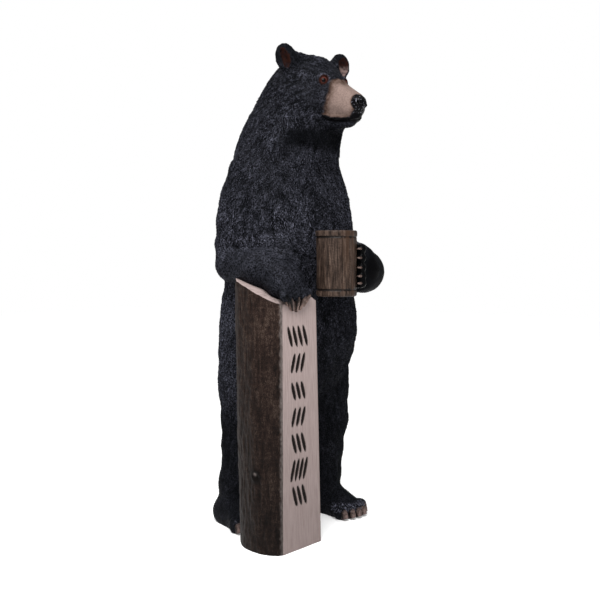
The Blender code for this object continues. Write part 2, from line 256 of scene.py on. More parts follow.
@dataclass(frozen=True)
class Ball(Shape):
    """An ellipsoid of clay.

    Args:
        centre: its middle in its frame.
        radii: half its size along x, y and z.
        frame: the frame it is modelled in.
        nod: degrees that its front is tipped down.
    """

    centre: Row
    radii: Row
    frame: Matrix | None = None
    nod: float = 0.0

    def placed(self) -> Matrix:
        """Its own frame among the others."""
        own = Matrix.Translation(self.centre) @ Matrix.Rotation(radians(self.nod), 4, "X")
        return self.frame @ own if self.frame else own

    def box(self) -> tuple[Array, Array]:
        """Lowest and highest corner of a box that holds it."""
        middle = np.array(self.placed().translation)
        turned = np.array(self.placed().to_3x3())
        reach = np.sqrt(((turned * np.array(self.radii)) ** 2).sum(1))
        return middle - reach, middle + reach

    def distance(self, x: Array, y: Array, z: Array) -> Array:
        """About how far each place is outside it; negative inside."""
        inverse = np.array(self.placed().inverted(), np.float32)
        outer = np.float32(0.0)
        inner = np.float32(0.0)
        for row, radius in zip(inverse, self.radii):
            local = (row[0] * x + row[3] + row[1] * y + row[2] * z) / np.float32(radius)
            outer = outer + local * local
            inner = inner + (local / np.float32(radius)) ** 2
        outer = np.sqrt(outer)
        return outer * (outer - 1.0) / np.sqrt(np.maximum(inner, 1e-9))


@dataclass(frozen=True)
class Taper(Shape):
    """A stretch of limb: a round bar whose radius changes from start to end."""

    start: Row
    end: Row
    start_radius: float
    end_radius: float

    def box(self) -> tuple[Array, Array]:
        """Lowest and highest corner of a box that holds it."""
        ends = np.array([self.start, self.end])
        reach = max(self.start_radius, self.end_radius)
        return ends.min(0) - reach, ends.max(0) + reach

    def share(self, x: Array, y: Array, z: Array) -> Array:
        """How far along it each place is, from 0 at the start to 1 at the end."""
        run = np.array(self.end, np.float32) - np.array(self.start, np.float32)
        step = run / np.dot(run, run)
        start = np.array(self.start, np.float32)
        return np.clip((x - start[0]) * step[0] + (y - start[1]) * step[1] + (z - start[2]) * step[2], 0, 1)

    def axis_distance(self, x: Array, y: Array, z: Array, share: Array) -> Array:
        """How far each place is from the middle line."""
        total = np.float32(0.0)
        for value, start, end in zip((x, y, z), self.start, self.end):
            total = total + (value - np.float32(start) - share * np.float32(end - start)) ** 2
        return np.sqrt(total)

    def radius(self, share: Array) -> Array:
        """Its radius at a share of its length."""
        return np.float32(self.start_radius) + share * np.float32(self.end_radius - self.start_radius)

    def distance(self, x: Array, y: Array, z: Array) -> Array:
        """How far each place is outside it; negative inside."""
        share = self.share(x, y, z)
        return self.axis_distance(x, y, z, share) - self.radius(share)


def limb(points: Sequence[Row], own: Matrix | None = None) -> list[Taper]:
    """The tapers between successive (x, y, z, radius) points, which may be given in a frame of their own."""
    moved = [(*((own or Matrix.Identity(4)) @ Vector(p[:3])), p[3]) for p in points]
    return [Taper(a[:3], b[:3], a[3], b[3]) for a, b in zip(moved, moved[1:])]


def bars(points: Sequence[Row], own: Matrix | None, fillet: float) -> Masses:
    """The same tapers, all with one fillet."""
    return ((part, fillet) for part in limb(points, own))


@dataclass(frozen=True)
class Trunk(Shape):
    """The body from the crotch to the crown, as level ellipses.

    Args:
        rows: height, centre x, centre y, half width and half depth of each ellipse.
        soften: height in metres over which they are eased into one another.
    """

    rows: Rows
    soften: float = 0.05

    def box(self) -> tuple[Array, Array]:
        """Lowest and highest corner of a box that holds it."""
        rows = np.array(self.rows)
        low = np.array([(rows[:, 1] - rows[:, 3]).min(), (rows[:, 2] - rows[:, 4]).min(), rows[0, 0]])
        high = np.array([(rows[:, 1] + rows[:, 3]).max(), (rows[:, 2] + rows[:, 4]).max(), rows[-1, 0]])
        return low, high

    def section(self, z: Array) -> list[Array]:
        """Centre x, centre y, half width and half depth at each height."""
        rows = np.array(self.rows)
        shifts = np.linspace(-0.5, 0.5, 7) * self.soften
        columns = (sum(np.interp(z + shift, rows[:, 0], column) for shift in shifts) for column in rows.T[1:])
        return [(column / len(shifts)).astype(np.float32) for column in columns]

    def distance(self, x: Array, y: Array, z: Array) -> Array:
        """About how far each place is outside it; negative inside."""
        centre_x, centre_y, width, depth = self.section(z)
        across = (x - centre_x) / width
        deep = (y - centre_y) / depth
        outer = np.sqrt(across**2 + deep**2)
        inner = np.sqrt((across / width) ** 2 + (deep / depth) ** 2)
        flat = outer * (outer - 1.0) / np.maximum(inner, 1e-6)
        ends = np.maximum(np.float32(self.rows[0][0]) - z, z - np.float32(self.rows[-1][0]))
        return np.maximum(flat, ends)


class Clay:
    """Modelling clay on a regular grid: how far each grid point is outside the skin, in metres."""

    FAR = 0.2  # what an empty block is filled with
    ROUNDS = 2  # how often the skin's points are drawn onto the surface
    GROUND = 0.0003  # how far the soles stand off the floor
    LAP = 0.012  # how far a block runs on under the next
    DIP = 0.004  # how far it has dipped there

    def __init__(self, low: Row, high: Row, cell: float) -> None:
        """Starts an empty block.

        Args:
            low: its lowest corner.
            high: its highest corner.
            cell: distance between grid points in metres.
        """
        self.low = np.array(low, np.float64)
        self.cell = cell
        counts = [int(ceil((b - a) / cell)) + 1 for a, b in zip(low, high)]
        self.axes = [(low[k] + cell * np.arange(n)).astype(np.float32) for k, n in enumerate(counts)]
        self.depth = np.full(counts, self.FAR, np.float32)

    def _window(self, shape: Shape, margin: float) -> tuple[tuple[slice, ...], list[Array]] | None:
        """Finds the part of the grid that a shape can touch.

        Args:
            shape: the shape.
            margin: how far around its box it reaches, in metres.

        Returns:
            The part's slices and its x, y and z, or None where it is outside the block.
        """
        low, high = shape.box()
        cuts = []
        for k in range(3):
            start = max(0, int((low[k] - margin - self.low[k]) / self.cell))
            stop = min(len(self.axes[k]), int((high[k] + margin - self.low[k]) / self.cell) + 2)
            if stop - start < 2:
                return None
            cuts.append(slice(start, stop))
        x, y, z = (self.axes[k][cuts[k]] for k in range(3))
        return tuple(cuts), [x[:, None, None], y[None, :, None], z[None, None, :]]

    def floor(self) -> None:
        """Cuts the clay off flat at the floor."""
        self.depth = np.maximum(self.depth, -self.axes[2][None, None, :] + np.float32(self.GROUND))

    def keep(self, low: float, high: float) -> None:
        """Keeps a block's own band, closed a little beyond each end, where it dips under the next block.

        Args:
            low: lowest level of the band.
            high: its highest level.
        """
        z = self.axes[2][None, None, :]
        beyond = np.maximum(np.float32(low) - z, z - np.float32(high))
        dip = np.float32(self.DIP) * ease(0.0, self.LAP, beyond)
        self.depth = np.maximum(self.depth + dip, beyond - np.float32(self.LAP)).astype(np.float32)

    def press(self, shape: Shape, fillet: float, sign: float = 1.0) -> None:
        """Presses a shape onto the clay or scoops it out.

        Args:
            shape: the shape.
            fillet: about how wide the rounding is where they meet, in metres.
            sign: 1 presses it on, -1 scoops it out.
        """
        found = self._window(shape, max(fillet, 3 * self.cell))
        if found is None:
            return
        cuts, places = found
        old = self.depth[cuts] * np.float32(sign)
        new = shape.distance(*places).astype(np.float32)
        mix = np.clip(0.5 + 0.5 * (old - new) / np.float32(fillet), 0.0, 1.0)
        eased = old + (new - old) * mix - np.float32(fillet) * mix * (1.0 - mix)
        self.depth[cuts] = np.float32(sign) * eased

    def sample(self, points: Array) -> tuple[Array, Array]:
        """Reads the clay between grid points, by straight-line interpolation.

        Args:
            points: places, one row of three each.

        Returns:
            How far each is outside the skin, and the slope of that along x, y and z.
        """
        where = (points - self.low) / self.cell
        limit = np.array(self.depth.shape) - 2
        base = np.clip(np.floor(where).astype(int), 0, limit)
        part = where - base
        value = np.zeros(len(points))
        slope = np.zeros((len(points), 3))
        for step in np.ndindex(2, 2, 2):
            corner = self.depth[tuple((base + step).T)].astype(float)
            sides = np.where(step, part, 1.0 - part)
            signs = np.where(step, 1.0, -1.0)
            value += corner * sides.prod(1)
            for k in range(3):
                others = [j for j in range(3) if j != k]
                slope[:, k] += corner * signs[k] * sides[:, others].prod(1) / self.cell
        return value, slope

    def skin(self) -> tuple[Array, Array]:
        """The clay's surface.

        Returns:
            Points and outward four-sided faces, one point for each cell that the surface crosses.
        """
        inside = self.depth < 0
        count = np.zeros([n - 1 for n in inside.shape], np.int8)
        for step in np.ndindex(2, 2, 2):
            count += inside[tuple(slice(s, n - 1 + s) for s, n in zip(step, inside.shape))]
        cells = np.argwhere((count > 0) & (count < 8))
        number = np.full(count.shape, -1, np.int64)
        number[tuple(cells.T)] = np.arange(len(cells))
        corners = {s: self.depth[tuple((cells + s).T)].astype(float) for s in np.ndindex(2, 2, 2)}
        total = np.zeros((len(cells), 3))
        crossings = np.zeros(len(cells))
        for start in corners:
            for axis in range(3):
                if start[axis]:
                    continue
                end = tuple(1 if k == axis else start[k] for k in range(3))
                a, b = corners[start], corners[end]
                crossed = (a < 0) != (b < 0)
                place = np.tile(np.array(start, float), (len(cells), 1))
                place[:, axis] = np.where(crossed, a / np.where(crossed, a - b, 1.0), 0.0)
                total += place * crossed[:, None]
                crossings += crossed
        points = self.low + self.cell * (cells + total / crossings[:, None])
        faces = []
        for axis in range(3):
            first, second = (axis + 1) % 3, (axis + 2) % 3
            ahead = [slice(1, -1)] * 3
            here = [slice(1, -1)] * 3
            here[axis] = slice(0, -1)
            ahead[axis] = slice(1, None)
            start, end = inside[tuple(here)], inside[tuple(ahead)]
            for outward in (True, False):
                spots = np.argwhere((start != end) & (start == outward))
                offset = np.ones(3, int)
                offset[axis] = 0
                spots = spots + offset
                ring = []
                for back in ((1, 1), (0, 1), (0, 0), (1, 0)):
                    cell = spots.copy()
                    cell[:, (first, second)] -= back
                    ring.append(number[tuple(cell.T)])
                quads = np.stack(ring, 1)
                faces.append(quads if outward else quads[:, ::-1])
        faces = np.vstack(faces)
        for _ in range(self.ROUNDS):
            value, slope = self.sample(points)
            points = points - slope * (value / np.maximum((slope**2).sum(1), 0.25))[:, None]
        return points, faces


# ---------------- meshes and nodes


def mesh_from(name: str, points: Array, faces: Array | Sequence[Sequence[int]]) -> Mesh:
    """A smooth-shaded mesh whose points are measured from the floor mark.

    Args:
        name: its name.
        points: one row of three for each point.
        faces: point numbers of each face; an array where all have as many corners.

    Returns:
        The mesh, moved to the origin.
    """
    mesh = bpy.data.meshes.new(name)
    sizes = np.array([len(f) for f in faces], np.int32)
    mesh.vertices.add(len(points))
    put(mesh, points)
    mesh.loops.add(int(sizes.sum()))
    corners = np.concatenate(faces) if isinstance(faces, list) else faces.ravel()
    mesh.loops.foreach_set("vertex_index", corners.astype(np.int32))
    mesh.polygons.add(len(sizes))
    mesh.polygons.foreach_set("loop_start", np.concatenate([[0], np.cumsum(sizes)[:-1]]).astype(np.int32))
    mesh.update(calc_edges=True)
    mesh.validate()
    mesh.shade_smooth()
    return mesh


def put(mesh: Mesh, points: Array) -> None:
    """Sets the places of a mesh's points, given from the floor mark."""
    mesh.vertices.foreach_set("co", (np.asarray(points, float) + np.array(MARK)).astype(np.float32).ravel())


def paint(mesh: Mesh, name: str, values: Array) -> None:
    """Stores a number or a direction for each point of a mesh under a name."""
    kind, key = ("FLOAT_VECTOR", "vector") if values.ndim == 2 else ("FLOAT", "value")
    mesh.attributes.new(name, kind, "POINT").data.foreach_set(key, values.astype(np.float32).ravel())


def read(items: bpy.types.bpy_prop_collection, key: str) -> Array:
    """Reads three numbers from each item of a mesh.

    Args:
        items: its points or their normals.
        key: what is read from each.

    Returns:
        One row of three for each item.
    """
    values = np.empty(len(items) * 3, np.float32)
    items.foreach_get(key, values)
    return values.reshape(-1, 3).astype(float)


def show(name: str, data: bpy.types.ID) -> Object:
    """Puts a mesh, a lamp or a camera into the scene."""
    obj = bpy.data.objects.new(name, data)
    bpy.context.scene.collection.objects.link(obj)
    return obj


def piece(name: str, mesh: Mesh, material: Material, slot: str, *nodes: str) -> Object:
    """Puts a finished mesh into the scene as a piece of the statue.

    Args:
        name: the piece's name.
        mesh: its mesh, in its place.
        material: its finish.
        slot: the name of the material slot meant for it; not used.
        nodes: the solids of the frame that it stands for.

    Returns:
        The piece.
    """
    obj = show(name, mesh)
    mesh.materials.clear()
    mesh.materials.append(material)
    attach(obj, BODY)
    if nodes:
        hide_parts(*nodes)
    mesh.calc_loop_triangles()
    LOG.info("%-16s %7d triangles", name, len(mesh.loop_triangles))
    return obj


def colour(code: str) -> tuple[float, float, float, float]:
    """Turns an sRGB hex code into linear light."""
    values = [int(code[k : k + 2], 16) / 255 for k in (1, 3, 5)]
    linear = [v / 12.92 if v <= 0.04045 else ((v + 0.055) / 1.055) ** 2.4 for v in values]
    return (*linear, 1.0)


def feed(node: Node, links: Links | Sequence[object]) -> None:
    """Sets what goes into a node.

    Args:
        node: the node.
        links: for each input, by name or number, or as a list from the first input on, its value, its colour
            as a hex code, or the output or the node that feeds it; a node feeds it from its first output in use.
    """
    for key, value in links.items() if isinstance(links, dict) else enumerate(links):
        if isinstance(value, Node):
            value = next(output for output in value.outputs if output.enabled)
        if isinstance(value, NodeSocket):
            node.id_data.links.new(value, node.inputs[key])
        else:
            is_code = isinstance(value, str) and value.startswith("#")
            node.inputs[key].default_value = colour(value) if is_code else value


def add(tree: NodeTree, kind: str, links: Links | Sequence[object] = (), **settings: object) -> Node:
    """Adds a node to a tree.

    Args:
        tree: the tree.
        kind: the node's type, without ShaderNode where it is one.
        links: what goes into it, as for feed.
        settings: properties of the node.

    Returns:
        The node.
    """
    node = tree.nodes.new(kind if "Node" in kind else f"ShaderNode{kind}")
    for key, value in settings.items():
        setattr(node, key, value)
    feed(node, links)
    return node


def set_stops(ramp: Node, stops: Sequence[tuple[float, str]]) -> None:
    """Gives a colour ramp its stops.

    Args:
        ramp: the ramp's node.
        stops: position and hex code of each, from position 0 to position 1.
    """
    marks = ramp.color_ramp.elements
    for position, code in stops:
        mark = next((m for m in marks if m.position == position), None) or marks.new(position)
        mark.color = colour(code)


# ---------------- finishes


@dataclass(frozen=True)
class Finish:
    """A painted finish of the statue, named for what it is on the real one."""

    name: str

    def inputs(self, tree: NodeTree, place: NodeSocket) -> Links:
        """Adds the finish's nodes.

        Args:
            tree: the material's tree.
            place: the places on the piece, in metres.

        Returns:
            What goes into each input of the shader.
        """
        raise NotImplementedError

    def build(self) -> Material:
        """Makes the material."""
        material = bpy.data.materials.new(self.name)
        material.use_nodes = True
        tree = material.node_tree
        place = add(tree, "TexCoord").outputs["Object"]
        feed(tree.nodes["Principled BSDF"], self.inputs(tree, place))
        return material


@dataclass(frozen=True)
class FurPaint(Finish):
    """Moulded fibreglass fur, sprayed satin black and dry-brushed with blue-grey.

    The brush touches only the tops of the tufts, so the coat reads as short lavender-grey strokes on black.
    On the head an airbrushed tan muzzle, gloss black nose and lips and reddish ears are painted over it.
    """

    name: str = "fibreglass_fur_dry_brushed"
    base: str = "#07080a"
    brushed: str = "#6a6b79"
    tan: str = "#70605a"
    tan_edge: str = "#30221a"
    lip: str = "#070708"
    ear: str = "#20100c"
    ear_light: str = "#6c5b57"
    patch: float = 0.1  # width in metres of the lighter and darker patches that the brush left
    clump: float = 0.016  # width of the smaller clusters of bright strokes
    speck: float = 0.0055  # width of a single bright fleck
    strand: float = 0.0016  # width of a moulded strand; real ones are half of that, too fine to show

    def inputs(self, tree: NodeTree, place: NodeSocket) -> Links:
        """Black, what the brush left on it, and over both the painted places of the head."""
        mark = {
            key: add(tree, "Attribute", attribute_name=key).outputs["Fac"]
            for key in ("crest", "tone", "tan", "tan_core", "ear", "ear_light", "gloss")
        }
        patches, clumps, dots, strands = (
            add(tree, "TexNoise", {"Vector": place, "Scale": 1 / size, "Detail": detail})
            for size, detail in ((self.patch, 2.0), (self.clump, 2.0), (self.speck, 1.0), (self.strand, 1.0))
        )
        brushed = mark["tone"]
        for source, *limits in (
            # what thins the brush's paint out, the range of its values, and the shares left at both ends
            (mark["crest"], 0.15, 1.0, 0.0, 1.0),
            (patches, 0.36, 0.64, 0.6, 1.0),
            (clumps, 0.38, 0.64, 0.55, 1.0),
            (dots, 0.36, 0.65, 0.0, 1.6),
        ):
            share = add(tree, "MapRange", [source, *limits])
            brushed = add(tree, "Math", [brushed, share], operation="MULTIPLY")
        shade = add(tree, "Mix", {0: brushed, 6: self.base, 7: self.brushed}, data_type="RGBA")
        mottle = add(tree, "MapRange", [dots, 0.35, 0.62, 0.76, 1.03])
        core = add(tree, "Math", [mark["tan_core"], mottle], operation="MULTIPLY")
        for share, low, high, over in (
            (core, self.tan_edge, self.tan, mark["tan"]),
            (mark["ear_light"], self.ear, self.ear_light, mark["ear"]),
            (0.0, self.lip, self.lip, mark["gloss"]),
        ):
            coat = add(tree, "Mix", {0: share, 6: low, 7: high}, data_type="RGBA")
            shade = add(tree, "Mix", {0: over, 6: shade, 7: coat}, data_type="RGBA")
        wet = add(tree, "MapRange", [mark["gloss"], 0.0, 1.0, 0.55, 0.13])
        bump = add(tree, "Bump", {"Height": strands, "Strength": 0.25, "Distance": 0.0006})
        return {"Base Color": shade, "Roughness": wet, "Normal": bump, "Specular IOR Level": 0.014}


@dataclass(frozen=True)
class LacquerPaint(Finish):
    """Gloss black lacquer on the nose and the lips, with painted grey glints on the tops of its pits."""

    name: str = "gloss_black_lacquer"
    black: str = "#050506"
    # colour of the painted glints
    grey: str = "#74747e"
    pits: float = 190.0  # pits in a metre; each is about 5 mm across

    def inputs(self, tree: NodeTree, place: NodeSocket) -> Links:
        """Black with painted grey glints on the highest places."""
        pits = add(tree, "TexNoise", {"Vector": place, "Scale": self.pits, "Detail": 1.0})
        # painted highlights: grey glints where the pattern is highest
        painted_glints = add(tree, "MapRange", [pits, 0.622, 0.71])
        shade = add(tree, "Mix", {0: painted_glints, 6: self.black, 7: self.grey}, data_type="RGBA")
        bump = add(tree, "Bump", {"Height": pits, "Strength": 0.8, "Distance": 0.0016})
        return {"Base Color": shade, "Normal": bump, "Roughness": 0.1, "Specular IOR Level": 0.05}


@dataclass(frozen=True)
class FloorPaint(Finish):
    """Matt white studio paint, with a faint glow so that the floor meets the white surroundings unseen."""

    name: str = "painted_studio_floor"
    low: str = "#fafafa"
    high: str = "#fcfcfc"
    mottle: float = 2.0  # width of a mottle in metres
    glow: float = 0.19

    def inputs(self, tree: NodeTree, place: NodeSocket) -> Links:
        """Two whites, mottled."""
        noise = add(tree, "TexNoise", {"Vector": place, "Scale": 1 / self.mottle, "Detail": 4.0})
        shade = add(tree, "Mix", {0: noise, 6: self.low, 7: self.high}, data_type="RGBA")
        bump = add(tree, "Bump", {"Height": noise, "Strength": 0.3, "Distance": 0.001})
        glow = {"Emission Color": WHITE, "Emission Strength": self.glow}
        return {"Base Color": shade, "Normal": bump, "Roughness": 0.9, **glow}


# ---------------- the bear


@dataclass
class Foot:
    """A flat-soled foot with five toes.

    Args:
        heel: the heel's place on the floor.
        turn: degrees that it is turned to the bear's right.
    """

    heel: Row
    turn: float
    length: float = 0.2
    toe_pitch: float = 0.033
    toe_setbacks: Row = (0.012, 0.003, 0.0, 0.005, 0.03)  # how far each toe stands back
    toe_height: float = 0.027
    toe_radii: Row = (0.0225, 0.03, 0.031)
    balls: tuple[tuple[Row, Row, float], ...] = (
        ((0.0, 0.0, 0.035), (0.056, 0.06, 0.06), 0.0),
        ((0.0, -0.08, 0.034), (0.062, 0.1, 0.076), -8.0),
        ((0.0, -0.155, 0.026), (0.074, 0.06, 0.046), 0.0),
    )

    def frame(self) -> Matrix:
        """The foot's own frame."""
        return facing(self.heel, self.turn)

    def toes(self) -> list[Pair]:
        """Sideways and forward place of each toe."""
        return [(k * self.toe_pitch, self.length - back) for k, back in zip(range(-2, 3), self.toe_setbacks)]

    def shapes(self) -> Iterator[tuple[Ball, float]]:
        """Its masses, each with its fillet."""
        for centre, radii, nod in self.balls:
            yield Ball(centre, radii, self.frame(), nod), 0.03
        for side, forward in self.toes():
            yield Ball((side, -forward, self.toe_height), self.toe_radii, self.frame(), 10.0), 0.008


@dataclass
class Head:
    """The head: its frame sits between the ears, looks along -Y and is turned to the bear's right."""

    place: Row = (0.075, -0.005, 1.64)
    turn: float = 10.0
    eye: Row = (0.05, -0.105, 0.007)
    eye_radius: float = 0.0195
    gaze: Pair = (35.0, 2.0)  # degrees that the eyes look outwards and downwards
    ear: Row = (0.138, 0.0, 0.096)
    ear_radii: Row = (0.048, 0.025, 0.054)
    ear_lean: float = 18.0
    ear_cups: tuple[Rows, ...] = (
        # middle and half size of the hollow of the right ear and of the left one
        ((-0.02, -0.027, 0.003), (0.0135, 0.025, 0.041)),
        ((0.004, -0.029, 0.0), (0.031, 0.021, 0.041)),
    )
    nose: Rows = ((0.0, -0.252, -0.084), (0.04, 0.034, 0.034))  # middle and half size of its gloss
    crown: Rows = (
        # from the root of the right ear over the top of the head to that of the left ear
        (-0.12, 0.0, 0.088, 0.032), (-0.07, 0.0, 0.099, 0.024), (0.0, 0.0, 0.097, 0.024),
        (0.07, 0.0, 0.085, 0.024), (0.12, 0.0, 0.083, 0.03),
    )
    tan_back: Rows = (
        # height, and how far forward the tan of the muzzle starts there at the side
        (-0.125, 0.114), (-0.102, 0.122), (-0.083, 0.132), (-0.04, 0.145), (-0.005, 0.14), (0.008, 0.138),
        (0.022, 0.15),
    )
    tan_low: Rows = (
        # distance forward, and the height at which the tan stops above the lip there
        (0.1, -0.108), (0.115, -0.118), (0.15, -0.13), (0.2, -0.136), (0.222, -0.133),
        (0.24, -0.112), (0.262, -0.1),
    )
    lips: Rows = (
        # the parting of the lips on the left side, from the corner of the mouth to the front
        (0.065, -0.096, -0.113), (0.06, -0.11, -0.118), (0.052, -0.13, -0.127), (0.043, -0.155, -0.133),
        (0.037, -0.18, -0.137), (0.031, -0.205, -0.138), (0.02, -0.222, -0.134), (0.0, -0.232, -0.13),
    )

    def frame(self) -> Matrix:
        """The head's own frame."""
        return facing(self.place, self.turn)

    def ear_frame(self, side: int) -> Matrix:
        """The frame of one ear; side is 1 for the left ear."""
        place = Matrix.Translation((side * self.ear[0], self.ear[1], self.ear[2]))
        return self.frame() @ place @ Matrix.Rotation(radians(side * self.ear_lean), 4, "Y")

    def eye_frame(self, side: int) -> Matrix:
        """The frame of one eye, which looks along -Y; side is 1 for the left eye."""
        place = Matrix.Translation((side * self.eye[0], *self.eye[1:]))
        turn = Matrix.Rotation(radians(side * self.gaze[0]), 4, "Z")
        return self.frame() @ place @ turn @ Matrix.Rotation(radians(self.gaze[1]), 4, "X")

    def lids(self, side: int) -> Iterator[Taper]:
        """The rims of the upper and the lower lid of one eye.

        Args:
            side: 1 for the left eye, -1 for the right one.

        Yields:
            The tapers of each rim.
        """
        reach = self.eye_radius + 0.001
        for rise in (0.94, -0.88):
            path = []
            for turn in np.radians(np.linspace(-72.0, 72.0, 9)):
                up = rise * reach * cos(turn) ** 0.8
                across = reach * sin(turn)
                ahead = sqrt(max(reach**2 - up**2 - across**2, 0.0))
                path.append((across, -ahead, up, 0.0034))
            yield from limb(path, self.eye_frame(side))

    def masses(self) -> Masses:
        """Its masses, each with its fillet."""
        frame = self.frame()
        yield Ball((0.0, 0.026, -0.008), (0.142, 0.134, 0.127), frame), 0.05
        for side in (-1, 1):
            yield Ball((side * 0.082, -0.02, -0.065), (0.07, 0.1, 0.085), frame), 0.03
        yield Ball((0.0, -0.076, -0.008), (0.06, 0.078, 0.06), frame), 0.02
        yield from bars(((0.0, -0.08, -0.05, 0.08), (0.0, -0.2, -0.09, 0.048)), frame, 0.02)
        yield from bars(((0.0, -0.04, -0.11, 0.072), (0.0, -0.175, -0.132, 0.036)), frame, 0.015)
        yield Ball((0.0, -0.202, -0.096), (0.046, 0.048, 0.046), frame, 12.0), 0.012
        yield Ball((0.0, -0.184, -0.141), (0.032, 0.036, 0.024), frame), 0.008
        yield Ball((0.0, -0.235, -0.084), (0.034, 0.029, 0.031), frame, -8.0), 0.004
        yield from bars(self.crown, frame, 0.014)
        for side in (-1, 1):
            yield Ball((side * 0.05, -0.1, 0.012), (0.027, 0.021, 0.025), frame), 0.012
            bridge = ((side * 0.021, -0.13, -0.024, 0.03), (side * 0.018, -0.212, -0.068, 0.025))
            yield from bars(bridge, frame, 0.012)
            yield Ball((0.0, 0.0, 0.0), self.ear_radii, self.ear_frame(side)), 0.022
            yield from bars([(side * x, y, z, 0.008) for x, y, z in self.lips], frame, 0.004)
            yield from ((part, 0.006) for part in self.lids(side))

    def hollows(self) -> Masses:
        """What is scooped from it, each with its rounding."""
        frame = self.frame()
        radius = self.eye_radius + 0.0008  # the eye lies loose in its socket
        for side in (-1, 1):
            yield Ball(*self.ear_cups[side > 0], self.ear_frame(side)), 0.005
            yield Ball((side * self.eye[0], *self.eye[1:]), (radius, radius, radius), frame), 0.002
            yield Ball((side * 0.017, -0.262, -0.086), (0.0075, 0.012, 0.0065), frame, 20.0), 0.003
            parting = [(side * x * 1.06, y * 1.01, z, 0.0022) for x, y, z in self.lips]
            yield from bars(parting, frame, 0.003)


@dataclass
class Bear:
    """The standing bear, cast in one piece."""

    blocks: tuple[tuple[str, float, float, float], ...] = (
        # name, lowest and highest level and grid of each block of clay; the head's is the finest
        ("legs", -0.01, 0.66, 0.0058),
        ("belly", 0.66, 1.1, 0.0058),
        ("shoulders", 1.1, 1.52, 0.0058),
        ("head", 1.52, 1.81, 0.0029),
    )
    trunk: Rows = (
        # height, centre x, centre y, half width and half depth of each level of the trunk and neck
        (0.44, 0.09, 0.12, 0.06, 0.06), (0.48, 0.09, 0.12, 0.15, 0.15),
        (0.54, 0.09, 0.12, 0.212, 0.19), (0.62, 0.09, 0.112, 0.238, 0.228),
        (0.72, 0.09, 0.108, 0.252, 0.248), (0.8, 0.088, 0.11, 0.252, 0.248),
        (0.9, 0.08, 0.116, 0.248, 0.243), (1.0, 0.072, 0.116, 0.255, 0.242),
        (1.11, 0.073, 0.112, 0.262, 0.24), (1.22, 0.07, 0.115, 0.269, 0.22),
        (1.3, 0.072, 0.118, 0.252, 0.196), (1.38, 0.07, 0.112, 0.225, 0.171),
        (1.46, 0.074, 0.092, 0.197, 0.181), (1.54, 0.072, 0.068, 0.175, 0.188),
        (1.62, 0.074, 0.049, 0.15, 0.165), (1.7, 0.074, 0.028, 0.108, 0.118),
        (1.74, 0.072, 0.02, 0.05, 0.06),
    )
    left_leg: Rows = (
        (0.2, 0.13, 0.6, 0.156), (0.216, 0.112, 0.545, 0.146), (0.232, 0.096, 0.48, 0.118),
        (0.25, 0.084, 0.376, 0.1), (0.264, 0.085, 0.25, 0.073), (0.271, 0.092, 0.15, 0.065),
        (0.272, 0.11, 0.05, 0.06),
    )
    right_leg: Rows = (
        (-0.02, 0.2, 0.62, 0.141), (-0.035, 0.2, 0.52, 0.128), (-0.05, 0.21, 0.4, 0.1),
        (-0.06, 0.22, 0.3, 0.082), (-0.07, 0.242, 0.15, 0.071), (-0.068, 0.27, 0.05, 0.06),
    )
    right_arm: Rows = (
        (-0.11, 0.13, 1.3, 0.1), (-0.146, 0.14, 1.215, 0.089), (-0.162, 0.142, 1.13, 0.09),
        (-0.184, 0.15, 1.05, 0.073), (-0.197, 0.15, 0.98, 0.064), (-0.218, 0.0, 0.962, 0.067),
        (-0.22, -0.08, 0.934, 0.062),
    )
    left_arm: Rows = (
        (0.26, 0.13, 1.3, 0.1), (0.31, 0.125, 1.13, 0.088), (0.337, 0.06, 0.99, 0.082),
        (0.25, -0.06, 0.955, 0.08), (0.176, -0.16, 0.952, 0.081),
    )
    rump: Rows = ((0.08, 0.205, 0.72), (0.226, 0.178, 0.3))
    hump: Rows = ((0.058, 0.16, 1.34), (0.175, 0.148, 0.24))
    arm_fur: Rows = ((-0.06, 0.07, 1.15), (0.165, 0.15, 0.22))
    elbow_fur: Rows = ((-0.125, -0.025, 1.0), (0.088, 0.09, 0.105))
    wrist_fur: Rows = ((0.165, -0.09, 1.035), (0.042, 0.045, 0.042))
    throat: Rows = (
        (-0.079, -0.03, 1.436, 0.006), (-0.035, -0.054, 1.405, 0.007), (0.022, -0.07, 1.39, 0.008),
        (0.1, -0.076, 1.398, 0.008), (0.176, -0.06, 1.426, 0.006),
    )
    ruff: Rows = (
        (-0.095, 0.01, 1.4, 0.03), (-0.045, -0.022, 1.366, 0.032), (0.022, -0.036, 1.35, 0.034),
        (0.1, -0.042, 1.358, 0.034), (0.165, -0.018, 1.39, 0.024),
    )
    right_paw: Rows = ((-0.216, -0.105, 0.918), (0.082, 0.062, 0.067))
    left_paw: Rows = ((0.122, -0.197, 0.964), (0.05, 0.05, 0.076))
    web: Rows = (
        # the skin above the top finger of the left paw
        (0.085, -0.18, 1.062, 0.01), (0.105, -0.19, 1.033, 0.016), (0.122, -0.197, 1.005, 0.022),
    )
    finger_radius: float = 0.0195
    right_claws: Rows = (
        # across and level where each claw of the paw on the post starts, then of its tip
        (-0.287, 0.868, -0.25, 0.846), (-0.268, 0.864, -0.229, 0.83), (-0.224, 0.866, -0.209, 0.824),
        (-0.184, 0.87, -0.19, 0.829), (-0.156, 0.876, -0.17, 0.84),
    )
    left_finger_levels: Row = (1.035, 1.003, 0.969, 0.939, 0.914)
    grip: Pair = (-8.0, -50.0)
    head: Head = field(default_factory=Head)
    left_foot: Foot = field(default_factory=lambda: Foot((0.284, 0.138, 0.0), 7.0))
    right_foot: Foot = field(
        default_factory=lambda: Foot(
            (-0.072, 0.294, 0.0), 19.0, toe_pitch=0.031, toe_setbacks=(0.03, 0.005, 0.0, 0.003, 0.012)
        )
    )

